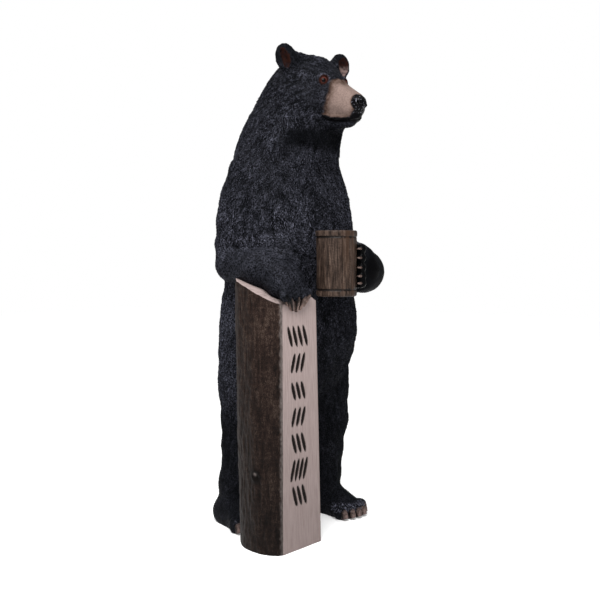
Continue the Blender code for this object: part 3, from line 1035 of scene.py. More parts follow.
    def right_fingers(self) -> list[tuple[Vector, Vector]]:
        """Root and tip of each finger of the paw that lies on the post."""
        paw = Vector(self.right_paw[0])
        fingers = []
        for across, level, _, _ in self.right_claws:
            tip = Vector((across, -0.156, level + 0.003))
            fingers.append((Vector(((tip.x + paw.x) / 2, -0.125, level + 0.05)), tip))
        return fingers

    def left_fingers(self, tankard: "Tankard") -> list[tuple[Vector, Vector]]:
        """The fingers of the paw that holds the tankard.

        Args:
            tankard: what they lie against.

        Returns:
            Root and tip of each.
        """
        reach = tankard.radius + self.finger_radius * 0.8
        turns = [radians(turn) for turn in self.grip]
        sides = [reach * Vector((cos(turn), sin(turn), 0.0)) for turn in turns]
        middles = [Vector((*tankard.place[:2], level)) for level in self.left_finger_levels]
        return [(middle + sides[0], middle + sides[1]) for middle in middles]

    def masses(self, tankard: "Tankard") -> Masses:
        """Its masses in the order in which they are pressed together.

        Args:
            tankard: what the left paw holds.

        Yields:
            Each mass with its fillet.
        """
        yield Trunk(self.trunk), 0.001
        for mass in (self.rump, self.hump, self.arm_fur, self.elbow_fur, self.wrist_fur):
            yield Ball(*mass), 0.04
        for path in (self.left_leg, self.right_leg, self.right_arm, self.left_arm):
            yield from bars(path, None, 0.025)
        yield from bars(self.ruff, None, 0.03)
        yield from bars(self.web, None, 0.02)
        yield from self.left_foot.shapes()
        yield from self.right_foot.shapes()
        yield Ball(*self.right_paw), 0.02
        yield Ball(*self.left_paw), 0.045
        for root, tip in (*self.right_fingers(), *self.left_fingers(tankard)):
            yield from bars(((*root, self.finger_radius), (*tip, self.finger_radius * 0.9)), None, 0.006)
        yield from self.head.masses()

    def model(self, clay: Clay, tankard: "Tankard") -> None:
        """Builds the whole bear, with what its left paw holds in mind, in an empty block of clay."""
        for shape, fillet in self.masses(tankard):
            clay.press(shape, fillet)
        for shape, fillet in (*self.head.hollows(), *bars(self.throat, None, 0.02)):
            clay.press(shape, fillet, -1.0)
        clay.floor()


class Nap:
    """Which way the fur lies and how long it is.

    Each guide is a taper whose fur runs from its start to its end. Near a guide the fur follows it; between
    two guides it turns from one way to the other.
    """

    SWIRL = 0.8  # radians that the carver's strokes wander either way
    SWIRL_SIZE = 0.06  # width of a patch where they wander one way
    HOLD = 2.2  # how fast a guide's pull fades beyond its radius

    def __init__(self, bear: "Bear") -> None:
        """Lays the guides along the bear's parts, with the length of the fur at each of their points."""
        head = bear.head.frame()
        trunk = ((0.075, 0.02, 1.66, 0.1), (0.075, 0.1, 1.35, 0.16), (0.08, 0.12, 0.5, 0.2))
        toes = ((0, 0.0, 0.09, 0.06), (0, -0.2, 0.035, 0.05))
        chin = ((0, -0.2, -0.14, 0.03), (0, -0.02, -0.17, 0.08))
        laid = [
            (trunk, (0.9, 1.0, 0.9), None),
            (bear.left_leg, (0.9, 0.85, 0.8, 0.6, 0.5, 0.4, 0.3), None),
            (bear.right_leg, (1.0, 1.0, 0.9, 0.7, 0.5, 0.3), None),
            (bear.right_arm, (1.0, 0.95, 0.9, 0.8, 0.25, 0.15, 0.25), None),
            (bear.left_arm, (1.0, 0.6, 0.05, 0.0, 0.0), None),
            (toes, (0.25, 0.2), bear.left_foot.frame()),
            (toes, (0.25, 0.2), bear.right_foot.frame()),
        ]
        for side in (-1, 1):
            cheek = ((0.02, -0.24, -0.06, 0.02), (0.055, -0.13, -0.02, 0.05), (0.08, 0.05, -0.02, 0.12))
            crown = ((0.03, -0.15, 0.02, 0.03), (0.06, 0.1, 0.09, 0.08))
            ear = ((0.125, 0.0, 0.06, 0.03), (0.16, 0.01, 0.15, 0.04))
            for path, lengths in ((cheek, (0.12, 0.16, 0.75)), (crown, (0.14, 0.6)), (ear, (0.3, 0.25))):
                laid.append(([(side * x, *rest) for x, *rest in path], lengths, head))
        laid.append((chin, (0.12, 0.7), head))
        self.guides: list[tuple[Taper, float, float]] = [
            (part, start, end)
            for path, lengths, own in laid
            for part, start, end in zip(limb(path, own), lengths, lengths[1:])
        ]

    def comb(self, points: Array, normals: Array) -> tuple[Array, Array]:
        """Finds the lie of the fur.

        Args:
            points: places on the skin.
            normals: the skin's outward direction there.

        Returns:
            The fur's unit direction along the skin, and its length as a share of the longest.
        """
        x, y, z = points.T.astype(np.float32)
        way = np.zeros_like(points)
        length = np.zeros(len(points))
        total = np.full(len(points), 1e-6)
        for part, start, end in self.guides:
            share = part.share(x, y, z)
            beyond = np.maximum(part.axis_distance(x, y, z, share) / part.radius(share) - 1.0, 0.0)
            weight = np.exp(-((self.HOLD * beyond) ** 2)).astype(float)
            run = np.array(part.end) - np.array(part.start)
            way += weight[:, None] * run / norm(run)
            length += weight * (start + (end - start) * share)
            total += weight
        way = way / total[:, None]
        way = unit(way - normals * (way * normals).sum(1, keepdims=True))
        turn = self.SWIRL * cloud(points, self.SWIRL_SIZE, 5)[:, None]
        side = np.cross(normals, way)
        return way * np.cos(turn) + side * np.sin(turn), length / total


@dataclass(frozen=True)
class Locks:
    """Tufts of moulded fur, each a horn of three sides that rises from the skin and tapers to a tip.

    Args:
        cover: the skin's attribute that says where they grow and how long, from 0 to 1.
        spacing: least distance between two tufts in metres.
        length: length of the longest tuft.
        width: its width.
        height: how far it stands out of the skin.
        wander: radians that a tuft turns from the lie of the fur, either way.
        rings: rings of faces from its root to its tip.
    """

    cover: str = "fur"
    spacing: float = 0.0049
    length: float = 0.0155
    width: float = 0.004
    height: float = 0.0017
    wander: float = 0.55
    rings: int = 2

    ACROSS = 0.58  # radius over width: a tuft of three sides is 1.73 radii wide

    @staticmethod
    def tree() -> NodeTree:
        """Builds the node tree that covers a skin with tufts.

        Returns:
            The tree; its inputs are the skin, the sizes, the band of levels, the seed and the finish.
        """
        tree = bpy.data.node_groups.new("fur_locks", "GeometryNodeTree")
        for kind, names in (
            ("Geometry", "Geometry"),
            ("Float", "Spacing Length Width Height Wander Lowest Highest"),
            ("Int", "Rings Seed"),
            ("String", "Cover"),
            ("Material", "Material"),
        ):
            for name in names.split():
                tree.interface.new_socket(name, in_out="INPUT", socket_type="NodeSocket" + kind)
        tree.interface.new_socket("Geometry", in_out="OUTPUT", socket_type="NodeSocketGeometry")
        given = add(tree, "NodeGroupInput").outputs
        place = add(tree, "SeparateXYZ", [add(tree, "GeometryNodeInputPosition")]).outputs
        value = {**dict(given.items()), **dict(zip("xyz", place))}
        for key, operation, *terms in (
            # what is worked out, how, and from which numbers, inputs, coordinates and earlier rows
            ("along", "MULTIPLY_ADD", "z", 0.5, 0.5),
            ("taper", "SUBTRACT", 1.3, "along"),
            ("lift", "POWER", "along", 1.5),
            ("across", "MULTIPLY", "y", "taper"),
            ("wide", "MULTIPLY", "across", "Width"),
            ("ahead", "SUBTRACT", "along", 0.3),
            ("far", "MULTIPLY", "ahead", "Length"),
            ("up", "MULTIPLY_ADD", "x", "taper", "lift"),
            ("high", "MULTIPLY", "up", "Height"),
            ("worn", "MULTIPLY_ADD", "along", 0.6, 0.1),
            ("crest", "MULTIPLY_ADD", "x", 0.6, "worn"),
            ("area", "POWER", "Spacing", 2.0),
            ("density", "DIVIDE", 2.0, "area"),
            ("back", "MULTIPLY", "Wander", -1.0),
        ):
            value[key] = add(tree, "Math", [value.get(t, t) for t in terms], operation=operation)

        # one tuft: a ball of three sides drawn out along Y, its first side uppermost
        ball = add(tree, "GeometryNodeMeshUVSphere", {"Segments": 3, "Rings": given["Rings"], "Radius": 1.0})
        shape = add(tree, "CombineXYZ", [value["wide"], value["far"], value["high"]])
        links = {"Geometry": ball, "Name": "crest", "Value": value["crest"]}
        marked = add(tree, "GeometryNodeStoreNamedAttribute", links)
        tuft = add(tree, "GeometryNodeSetPosition", {"Geometry": marked, "Position": shape})

        # where the tufts grow
        cover = add(tree, "GeometryNodeInputNamedAttribute", {"Name": given["Cover"]}, data_type="FLOAT")
        above = add(tree, "FunctionNodeCompare", [place[2], given["Lowest"]], operation="GREATER_THAN")
        below = add(tree, "FunctionNodeCompare", [place[2], given["Highest"]], operation="LESS_EQUAL")
        band = add(tree, "FunctionNodeBooleanMath", [above, below])
        hairy = add(tree, "FunctionNodeCompare", [cover, 0.05], operation="GREATER_THAN")
        grows = add(tree, "FunctionNodeBooleanMath", [band, hairy])
        links = {"Mesh": given["Geometry"], "Selection": grows, "Seed": given["Seed"]}
        links |= {"Distance Min": given["Spacing"], "Density Max": value["density"]}
        points = add(tree, "GeometryNodeDistributePointsOnFaces", links, distribute_method="POISSON")

        # how each tuft lies, and how big and how bright it is
        nap = add(tree, "GeometryNodeInputNamedAttribute", {"Name": "nap"}, data_type="FLOAT_VECTOR")
        links = {"Primary Axis": points.outputs["Normal"], "Secondary Axis": nap}
        lie = add(tree, "FunctionNodeAxesToRotation", links, primary_axis="Z", secondary_axis="Y")
        chance = {}
        for key, least, most in (
            ("yaw", value["back"], given["Wander"]),
            ("lift", -0.03, 0.04),
            ("roll", -0.3, 0.3),
            ("width", 0.75, 1.3),
            ("length", 0.6, 1.35),
            ("height", 0.6, 1.3),
            ("tone", 0.5, 1.0),
        ):
            seed = add(tree, "Math", [given["Seed"], float(len(chance) + 1)], operation="ADD")
            links = {2: least, 3: most, "Seed": seed}
            chance[key] = add(tree, "FunctionNodeRandomValue", links, data_type="FLOAT")
        twist = add(tree, "CombineXYZ", [chance["lift"], chance["roll"], chance["yaw"]])
        turn = add(tree, "FunctionNodeEulerToRotation", [twist])
        links = {"Rotation": lie, "Rotate By": turn}
        rotation = add(tree, "FunctionNodeRotateRotation", links, rotation_space="LOCAL")
        slim = add(tree, "Math", [cover, 0.5, 0.5], operation="MULTIPLY_ADD")
        sizes = [
            add(tree, "Math", [share, chance[key]], operation="MULTIPLY")
            for share, key in ((slim, "width"), (cover, "length"), (slim, "height"))
        ]
        scale = add(tree, "CombineXYZ", sizes)
        links = {"Points": points, "Instance": tuft, "Rotation": rotation, "Scale": scale}
        grown = add(tree, "GeometryNodeInstanceOnPoints", links)
        brush = add(tree, "GeometryNodeInputNamedAttribute", {"Name": "brush"}, data_type="FLOAT")
        uneven = add(tree, "Math", [chance["tone"], 1.7], operation="POWER")
        bright = add(tree, "Math", [uneven, brush], operation="MULTIPLY")
        links = {"Geometry": grown, "Name": "tone", "Value": bright}
        toned = add(tree, "GeometryNodeStoreNamedAttribute", links, domain="INSTANCE")
        real = add(tree, "GeometryNodeRealizeInstances", [toned])
        smooth = add(tree, "GeometryNodeSetShadeSmooth", [real])
        dressed = add(tree, "GeometryNodeSetMaterial", {"Geometry": smooth, "Material": given["Material"]})
        add(tree, "NodeGroupOutput", [dressed])
        return tree

    def grow(self, name: str, skin: Mesh, tree: NodeTree, fur: Material, band: Pair, seed: int) -> Mesh:
        """Covers a band of a skin with tufts.

        Args:
            name: the mesh's name.
            skin: the skin, with its nap and fur stored.
            tree: the tufts' node tree.
            fur: their finish.
            band: its lowest and highest level.
            seed: which random spread.

        Returns:
            The tufts as one plain mesh.
        """
        base = show(name, skin)
        modifier = base.modifiers.new("locks", "NODES")
        modifier.node_group = tree
        values = {key.title(): value for key, value in vars(self).items()}
        values |= {"Lowest": band[0], "Highest": band[1], "Seed": seed, "Material": fur}
        values["Width"] *= self.ACROSS
        for socket in tree.interface.items_tree:
            if socket.in_out == "INPUT" and socket.name in values:
                modifier[socket.identifier] = values[socket.name]
        graph = bpy.context.evaluated_depsgraph_get()
        mesh = bpy.data.meshes.new_from_object(base.evaluated_get(graph), depsgraph=graph)
        bpy.data.objects.remove(base)
        mesh.name = name
        return mesh


class Coat:
    """Gives a clay skin its moulded relief, its lie of fur and its paint marks."""

    STRAND = (0.011, 0.006)  # width of a moulded strand on the body and on the head
    RELIEF = 0.0012  # how far the strands rise and fall
    WAVE = (0.08, 0.034)  # length and width of the larger waves of the coat
    LUMPS = 0.0016  # how far they rise and fall
    INSET = 0.0022  # how far the skin lies under the tops of the tufts
    HEM = (
        # across, and the height at which the shaggy coat ends above the right forearm there
        (-0.27, 1.047), (-0.2, 1.045), (-0.12, 1.016), (-0.05, 1.006),
    )
    HEM_RISE = 0.0048  # how far the coat hangs out over its hem
    PITS = 0.0022  # how deep the nose is pitted
    SOLE = 0.004  # level under which the feet stay flat
    RUFF = (-0.075, -0.035, 1.46)  # middle of the longer tufts on the side of the neck
    DULL = (-0.13, 0.02, 1.3)  # middle of the patch of the shoulder that the brush passed over lightly
    DULL_SIZE = 0.1
    BRUSHING = (
        # height, and how heavily the coat was brushed there; the low shares on the legs are also painted shade,
        # as less light reaches low down
        (0.0, 0.3), (0.3, 0.19), (0.6, 0.3), (0.9, 0.66), (1.05, 1.0), (1.3, 0.8), (1.5, 0.7),
        (1.65, 0.49), (1.8, 0.6),
    )

    def __init__(self, bear: Bear, tankard: "Tankard") -> None:
        """Prepares the nap of a bear that holds a tankard."""
        self.bear = bear
        self.nap = Nap(bear)
        self.knuckles = [np.array(tip) for _, tip in bear.left_fingers(tankard)]

    def mould(self, name: str, clay: Clay) -> Mesh:
        """Turns clay into a finished skin.

        Args:
            name: name of the mesh.
            clay: the clay.

        Returns:
            The skin, with its nap, fur, shag, crest, tone and paint stored for each point.
        """
        points, faces = clay.skin()
        mesh = mesh_from(name, points, faces)
        normals = read(mesh.vertex_normals, "vector")
        way, fur = self.nap.comb(points, normals)
        marks = self.marks(points)
        bare = (1.0 - marks["tan"]) * (1.0 - marks["gloss"]) * (1.0 - marks["ear"]) * (1.0 - marks["lid"])
        fur = fur * bare
        fringe = self.fringe(points)
        along_skin = np.array(DOWN) - normals * (normals @ np.array(DOWN))[:, None]
        way = unit(way + 4.0 * fringe[:, None] * along_skin)
        height = points[:, 2]
        strand = self.STRAND[int(height.min() > 1.4)]
        raised = streaks(points, way, 3 * strand, strand, 11)
        waves = streaks(points, way, *self.WAVE, 12, 5)
        above = height - np.interp(points[:, 0], *np.array(self.HEM).T)
        near = ease(0.0, -0.06, points[:, 0]) * ease(0.2, 0.12, points[:, 1])
        crown = ease(1.58, 1.66, height)

        over = np.where(above > 0.0, np.exp(-above / 0.045), -0.5 * np.exp(above / 0.012))
        heavy = ease(0.35, 0.9, fur) * (0.35 + 0.65 * ease(0.5, 0.9, height)) * (1.0 - 0.7 * crown)
        depth = raised * self.RELIEF * (0.2 + 0.8 * fur) * bare
        depth += self.LUMPS * (0.5 * waves - 0.3) * heavy
        depth -= self.INSET * np.minimum(1.0, 3.0 * fur)
        depth += self.HEM_RISE * near * over
        depth += self.PITS * (cloud(points, 0.009, 61) + 0.6 * cloud(points, 0.005, 62)) * marks["nose"]
        moved = points + normals * depth[:, None]
        moved[:, 2] = np.where(height < self.SOLE, height, moved[:, 2])
        moved[:, 2] = np.maximum(moved[:, 2], 0.0002)
        put(mesh, moved)
        mesh.update()

        patchy = cloud(points, 0.05, 71) + 0.4 * waves > 0.25
        shag = ease(0.55, 0.85, fur) * ease(0.55, 0.8, height) * patchy
        shag = np.maximum(shag, near * ease(-0.002, 0.006, above) * ease(0.05, 0.02, above))
        ruff = ease(0.13, 0.06, norm((points - np.array(self.RUFF)) * (1.0, 1.0, 0.8), axis=1))
        shag = np.maximum(shag, 0.8 * ruff * (cloud(points, 0.025, 72) > -0.2)) * (1.0 - crown)
        brushing = self.brushing(points)
        rough = 0.25 * ease(0.15, 0.6, fur)
        # the brushing sets the tone, so it carries the painted shade of the legs and the jaw
        tone = (0.34 + 0.24 * rough + rough * cloud(points, 0.012, 17)) * brushing + 0.22 * marks["lid"]
        for key, values in {
            "nap": way,
            "fur": fur * (height > 0.012),
            "shag": shag,
            "fringe": fringe,
            "crest": np.clip(0.62 - 0.3 * rough + rough * raised, 0.0, 1.0) + 0.4 * marks["lid"],
            "tone": np.clip(tone, 0.0, 1.0),
            "brush": np.maximum(brushing, 1.5 * fringe),
            **{key: marks[key] for key in ("tan", "tan_core", "ear", "ear_light", "gloss")},
        }.items():
            paint(mesh, key, values)
        return mesh

    def lacquer(self, mesh: Mesh, material: Material) -> None:
        """Gives the four-sided faces of the nose and the lips their gloss.

        Args:
            mesh: the skin of the head, with its gloss stored.
            material: the finish of those faces.
        """
        gloss = np.empty(len(mesh.vertices), np.float32)
        mesh.attributes["gloss"].data.foreach_get("value", gloss)
        corners = np.empty(len(mesh.loops), np.int32)
        mesh.loops.foreach_get("vertex_index", corners)
        mesh.materials.append(material)
        shares = gloss[corners].reshape(-1, 4).mean(1)
        mesh.polygons.foreach_set("material_index", (shares > 0.5).astype(np.int32))

    def toes(self, points: Array, start: float, end: float) -> Array:
        """Rises from 0 at start to 1 at end, both in metres ahead of the heel of either foot."""
        frames = (foot.frame().inverted() for foot in (self.bear.left_foot, self.bear.right_foot))
        return ease(start, end, -np.min([carried(points, own)[:, 1] for own in frames], axis=0))

    def brushing(self, points: Array) -> Array:
        """How heavily places were dry-brushed: most on the shoulders, hardly on the legs and throat; the lesser
        brushing on the legs and under the jaw is also painted shade.

        Args:
            points: places on the skin.

        Returns:
            A share for each, above 1 on the toes and the knuckles.
        """
        x, y, z = points.T
        share = np.interp(z, *np.array(self.BRUSHING).T)
        rear = ease(0.02, -0.06, x) * ease(0.1, 0.2, y) * ease(0.35, 0.55, z)
        share = share + 0.7 * rear * ease(1.0, 0.8, z)
        across, behind, up = carried(points, self.bear.head.frame().inverted()).T
        # under the jaw the brushing is cut back as painted shade
        under = ease(-0.15, -0.18, up) * ease(-0.245, -0.215, up) * ease(0.0, 0.05, -behind)
        rim = ease(0.06, 0.09, up) * ease(0.092, 0.11, np.abs(across))
        hand = (*limb(self.bear.left_arm)[2:], Ball(*self.bear.left_paw))
        near = np.min([part.distance(x, y, z) for part in hand], axis=0)
        left = ease(0.035, 0.0, near) * (0.55 + 0.42 * ease(0.3, 0.2, x))
        toes = self.toes(points, 0.178, 0.19) * ease(0.022, 0.032, z) * ease(0.064, 0.052, z)
        share = np.maximum(share, 2.4 * toes * ease(0.0, 0.3, cloud(points, 0.007, 66)))
        dull = np.exp(-((norm(points - np.array(self.DULL), axis=1) / self.DULL_SIZE) ** 2))
        share = share * (1.0 - 0.35 * dull) * (1.0 - 0.85 * under) * (1.0 - 0.75 * rim) * (1.0 - left)
        away = np.min([norm(points - tip, axis=1) for tip in self.knuckles], axis=0)
        flecks = ease(0.0, 0.3, cloud(points, 0.008, 67))
        return np.maximum(share, 1.3 * ease(0.024, 0.019, away) * flecks)

    def fringe(self, points: Array) -> Array:
        """How long the jagged fringe that hangs over the claws of the feet is, from 0 to 1."""
        z = points[:, 2]
        return self.toes(points, 0.185, 0.2) * ease(0.028, 0.036, z) * ease(0.062, 0.054, z)

    def marks(self, points: Array) -> dict[str, Array]:
        """The painted places of the head.

        Args:
            points: places on the skin.

        Returns:
            For each kind of mark, a share from 0 to 1 for each point.
        """
        head = self.bear.head
        x, y, z = carried(points, head.frame().inverted()).T
        side = np.abs(x)
        edge = np.interp(z, *np.array(head.tan_back).T) + 0.008 * np.clip(1.0 - side / 0.045, 0.0, 1.0)
        lip = np.interp(-y, *np.array(head.tan_low).T)
        front = -y - edge + 0.0025 * cloud(points, 0.012, 63)
        tan = ease(-0.007, 0.007, front) * ease(lip - 0.002, lip + 0.003, z)
        from_nose = Ball(*head.nose).distance(x, y, z)
        nose = ease(0.0015, -0.0015, from_nose)
        lips = ease(lip + 0.001, lip - 0.002, z) * ease(lip - 0.019, lip - 0.013, z)
        lips = lips * ((-y > 0.115) & (side < 0.09))
        front_lip = ease(-0.002, 0.003, -y - np.interp(z, (-0.137, -0.115, -0.09), (0.226, 0.248, 0.256)))
        gloss = np.max([nose, lips, front_lip * (z < -0.088)], axis=0)
        core = ease(-0.01, 0.042, front) * ease(-0.012, 0.024, z - lip)
        core = core * ease(-0.002, 0.008, from_nose)
        ear, light, lid = np.zeros((3, len(points)))
        for turn in (-1, 1):
            cup = carried(points, head.ear_frame(turn).inverted())
            inside = Ball(*head.ear_cups[turn > 0]).distance(*cup.T)
            lining = ease(0.004, -0.001, inside + 0.003 * cloud(points, 0.008, 65)) * (cup[:, 1] < 0.02)
            ear = np.maximum(ear, lining)
            light = np.maximum(light, lining * ease(0.008, -0.012, cup[:, 2] - 0.4 * cup[:, 0]) * (turn > 0))
            around = norm(carried(points, head.eye_frame(turn).inverted()), axis=1)
            above = ease(-0.012, 0.012, z - 0.007 - 0.8 * (side - 0.055))
            lid = np.maximum(lid, ease(0.034, 0.027, around) * above)
            ear = np.maximum(ear, ease(0.0262, 0.0238, around) * (around < 0.03))
        return {
            "tan": tan * (1 - gloss),
            "tan_core": np.clip(core + 0.3 * cloud(points, 0.006, 64) * (1.3 - core), 0.0, 1.0),
            "gloss": gloss,
            "nose": nose,
            "ear": ear,
            "ear_light": light * 0.85,
            "lid": lid,
        }


# ---------------- claws and eyes


@dataclass(frozen=True)
class Claw:
    """One curved horn claw.

    Args:
        root: where it leaves the toe.
        aim: the way it starts.
        droop: the way it bends.
        length: its length in metres.
    """

    root: Vector
    aim: Vector
    droop: Vector
    length: float
    radius: float = 0.0078
    depth: float = 1.25  # depth over width
    point: float = 0.1  # radius of the tip over that of the root
    curve: float = 0.45
    sides: int = 20
    steps: int = 10
    pale: float = 1.0  # how pale its ridge is painted

    def rings(self) -> Array:
        """Its rings of points, from the root to the tip."""
        rings = []
        for step in range(self.steps + 1):
            share = step / self.steps
            place = self.root + self.length * (self.aim * share + self.droop * (self.curve * share * share))
            along = (self.aim + self.droop * (2.0 * self.curve * share)).normalized()
            side = along.cross(self.droop).normalized()
            up = side.cross(along) * self.depth
            swell = 1.0 - 0.35 * (1.0 - share) ** 6
            radius = self.radius * swell * (1.0 - (1.0 - self.point) * share**1.3)
            turns = 2 * pi * np.arange(self.sides) / self.sides
            rings.append([place + radius * (side * cos(t) + up * sin(t)) for t in turns])
        return np.array(rings)


def tube(rings: Array) -> tuple[Array, Faces]:
    """A closed skin over rings that all have the same number of points.

    Args:
        rings: the rings, each point as one row of three.

    Returns:
        Points and faces; each end is closed with one face.
    """
    levels, sides = rings.shape[:2]
    start = np.arange(levels - 1)[:, None] * sides + np.arange(sides)[None, :]
    after = np.arange(levels - 1)[:, None] * sides + (np.arange(sides) + 1)[None, :] % sides
    quads = np.stack([start, after, after + sides, start + sides], 2).reshape(-1, 4)
    faces = [list(map(int, q)) for q in quads]
    faces.append(list(range(sides - 1, -1, -1)))
    faces.append([(levels - 1) * sides + k for k in range(sides)])
    return rings.reshape(-1, 3), faces


def outward(mesh: Mesh) -> Mesh:
    """Turns every face of a closed mesh outwards."""
    work = bmesh.new()
    work.from_mesh(mesh)
    bmesh.ops.recalc_face_normals(work, faces=work.faces)
    work.to_mesh(mesh)
    work.free()
    return mesh


def joined(name: str, bodies: Sequence[tuple[Array, Faces]]) -> Mesh:
    """Joins closed bodies.

    Args:
        name: name of the mesh.
        bodies: points and faces of each.

    Returns:
        One mesh.
    """
    points, faces = [], []
    for places, sides in bodies:
        shift = sum(len(p) for p in points)
        points.append(places)
        faces.extend([corner + shift for corner in face] for face in sides)
    return outward(mesh_from(name, np.vstack(points), faces))


@dataclass(frozen=True)
class ClawPaint(Finish):
    """Horn-brown paint over moulded claws, satin, pale along the back, with painted shade at the root and on the
    flanks so dark gaps show between them.
    """

    name: str = "painted_horn_claw"
    dark: str = "#0c0908"
    light: str = "#665652"
    mottles: float = 140.0  # mottles in a metre; each is about 7 mm across

    def inputs(self, tree: NodeTree, place: NodeSocket) -> Links:
        """From painted shade at the root to light along the claw, broken by the mottles."""
        noise = add(tree, "TexNoise", {"Vector": place, "Scale": self.mottles, "Detail": 3.0})
        along = add(tree, "Attribute", attribute_name="along").outputs["Fac"]
        lit = add(tree, "Math", [noise, along], operation="MULTIPLY")
        level = add(tree, "MapRange", [lit, 0.12, 0.46])
        shade = add(tree, "Mix", {0: level, 6: self.dark, 7: self.light}, data_type="RGBA")
        return {"Base Color": shade, "Roughness": 0.45, "Specular IOR Level": 0.08}


@dataclass
class Claws:
    """All twenty claws."""

    bear: Bear
    tankard: "Tankard"

    def toes(self) -> Iterator[Claw]:
        """The claws of both feet."""
        for foot in (self.bear.left_foot, self.bear.right_foot):
            ahead = foot.frame().to_3x3() @ FRONT
            aim = (ahead + 1.1 * DOWN).normalized()
            for side, forward in foot.toes():
                root = foot.frame() @ Vector((side, -forward - 0.013, 0.033))
                yield Claw(root, aim, DOWN, 0.023, radius=0.0163, point=0.68)

    def fingers(self) -> Iterator[Claw]:
        """The claws of both paws."""
        for start_x, start_z, end_x, end_z in self.bear.right_claws:
            root = Vector((start_x, -0.164, start_z + 0.004))
            aim = Vector((end_x, -0.152, end_z)) - root
            yield Claw(root, aim.normalized(), Vector((0.0, 0.25, -0.25)), aim.length, radius=0.0094, point=0.5)
        for root, tip in self.bear.left_fingers(self.tankard):
            out = tip - Vector(self.tankard.place)
            out.z = 0.0
            out.normalize()
            along = DOWN.cross(out)
            yield Claw(tip + along * 0.006 - out * 0.004, along, -out, 0.025, radius=0.0066, point=0.5, pale=0.72)

    def build(self) -> None:
        """Makes the claws of the feet and of the paws; those of the paws are the paler ones."""
        for name, claws, finish in (
            ("toe_claws", [*self.toes()], ClawPaint()),
            ("finger_claws", [*self.fingers()], ClawPaint("painted_horn_finger_claw", light="#75625b")),
        ):
            mesh = joined(name, [tube(claw.rings()) for claw in claws])
            steps, sides = claws[0].steps, claws[0].sides
            levels = np.repeat(np.linspace(0, 1, steps + 1), sides)
            flank_shade = np.tile(np.abs(np.cos(2 * np.pi * np.arange(sides) / sides)) ** 6, steps + 1)
            pale = np.repeat([claw.pale for claw in claws], len(levels))
            # painted shade: the along attribute is darker at the root and on the flanks of each claw
            paint(mesh, "along", pale * np.tile((0.35 + 0.65 * levels) * (1.0 - 0.8 * flank_shade), len(claws)))
            piece(name, mesh, finish.build(), "claw")


@dataclass(frozen=True)
class EyePaint(Finish):
    """A glass-clear gloss over a painted amber iris, so the eye shines in its matt socket."""

    name: str = "gloss_amber_eye"
    white: str = "#1c0b07"
    iris: str = "#42201a"
    iris_dark: str = "#2c1510"
    pupil: str = "#060505"
    flecks: float = 500.0  # flecks in a metre; each is about 2 mm across

    def inputs(self, tree: NodeTree, place: NodeSocket) -> Links:
        """Rings from the pupil to the white, flecked, under a clear coat."""
        ring = add(tree, "Attribute", attribute_name="ring").outputs["Fac"]
        fleck = add(tree, "TexNoise", {"Vector": place, "Scale": self.flecks, "Detail": 2.0})
        ramp = add(tree, "ValToRGB", [ring])
        eye = ((0.0, self.pupil), (0.37, self.pupil), (0.46, self.iris), (0.72, self.iris))
        set_stops(ramp, (*eye, (0.86, self.iris_dark), (1.0, self.white)))
        dim = add(tree, "MapRange", [fleck, 0.3, 0.7, 0.7, 1.1])
        shade = add(tree, "Mix", {0: 1.0, 6: ramp, 7: dim}, data_type="RGBA", blend_type="MULTIPLY")
        gloss = {"Coat Weight": 0.06, "Coat Roughness": 0.03}
        return {"Base Color": shade, "Roughness": 0.25, "Specular IOR Level": 0.06, **gloss}


@dataclass
class Eyes:
    """Two set-in glass-like eyes, each with a slight bulge over the iris."""

    head: Head
    bulge: float = 0.0012

    def build(self, material: Material) -> None:
        """Makes both eyes of one material."""
        radius = self.head.eye_radius
        for side, name, node in ((-1, "right_eye_ball", "right_eye"), (1, "left_eye_ball", "left_eye")):
            own = self.head.eye_frame(side)
            turn = (own.to_3x3() @ FRONT).to_track_quat("Z", "Y").to_matrix().to_4x4()
            work = bmesh.new()
            bmesh.ops.create_uvsphere(work, u_segments=48, v_segments=32, radius=radius)
            mesh = bpy.data.meshes.new(name)
            work.to_mesh(mesh)
            work.free()
            local = read(mesh.vertices, "co")
            angle = np.arccos(np.clip(local[:, 2] / radius, -1, 1))
            swell = self.bulge * ease(0.75, 0.2, angle)
            grown = local * (1.0 + swell / radius)[:, None]
            put(mesh, carried(grown, Matrix.Translation(own.translation) @ turn))
            mesh.update()
            mesh.shade_smooth()
            paint(mesh, "ring", np.clip(angle, 0, 1))
            piece(name, mesh, material, "eye", node)


# ---------------- sign post


@dataclass(frozen=True)
class PostPaint(Finish):
    """A finish of the post, with painted shade that darkens it towards the floor, where less light falls."""

    def washed(self, tree: NodeTree, place: NodeSocket, coat: Node, foot: float, top: float) -> Node:
        """Adds the painted shade towards the floor.

        Args:
            tree: the material's tree.
            place: the places on the piece, in metres.
            coat: the colour to darken.
            foot: brightness that is left at the foot.
            top: brightness that is left near the top.

        Returns:
            The colour with the painted shade.
        """
        level = add(tree, "SeparateXYZ", [place]).outputs["Z"]
        # painted shade: the colour darkens from the top down to the floor
        wash = add(tree, "MapRange", [level, 0.1, 0.85, foot, top])
        return add(tree, "Mix", {0: 1.0, 6: coat, 7: wash}, data_type="RGBA", blend_type="MULTIPLY")


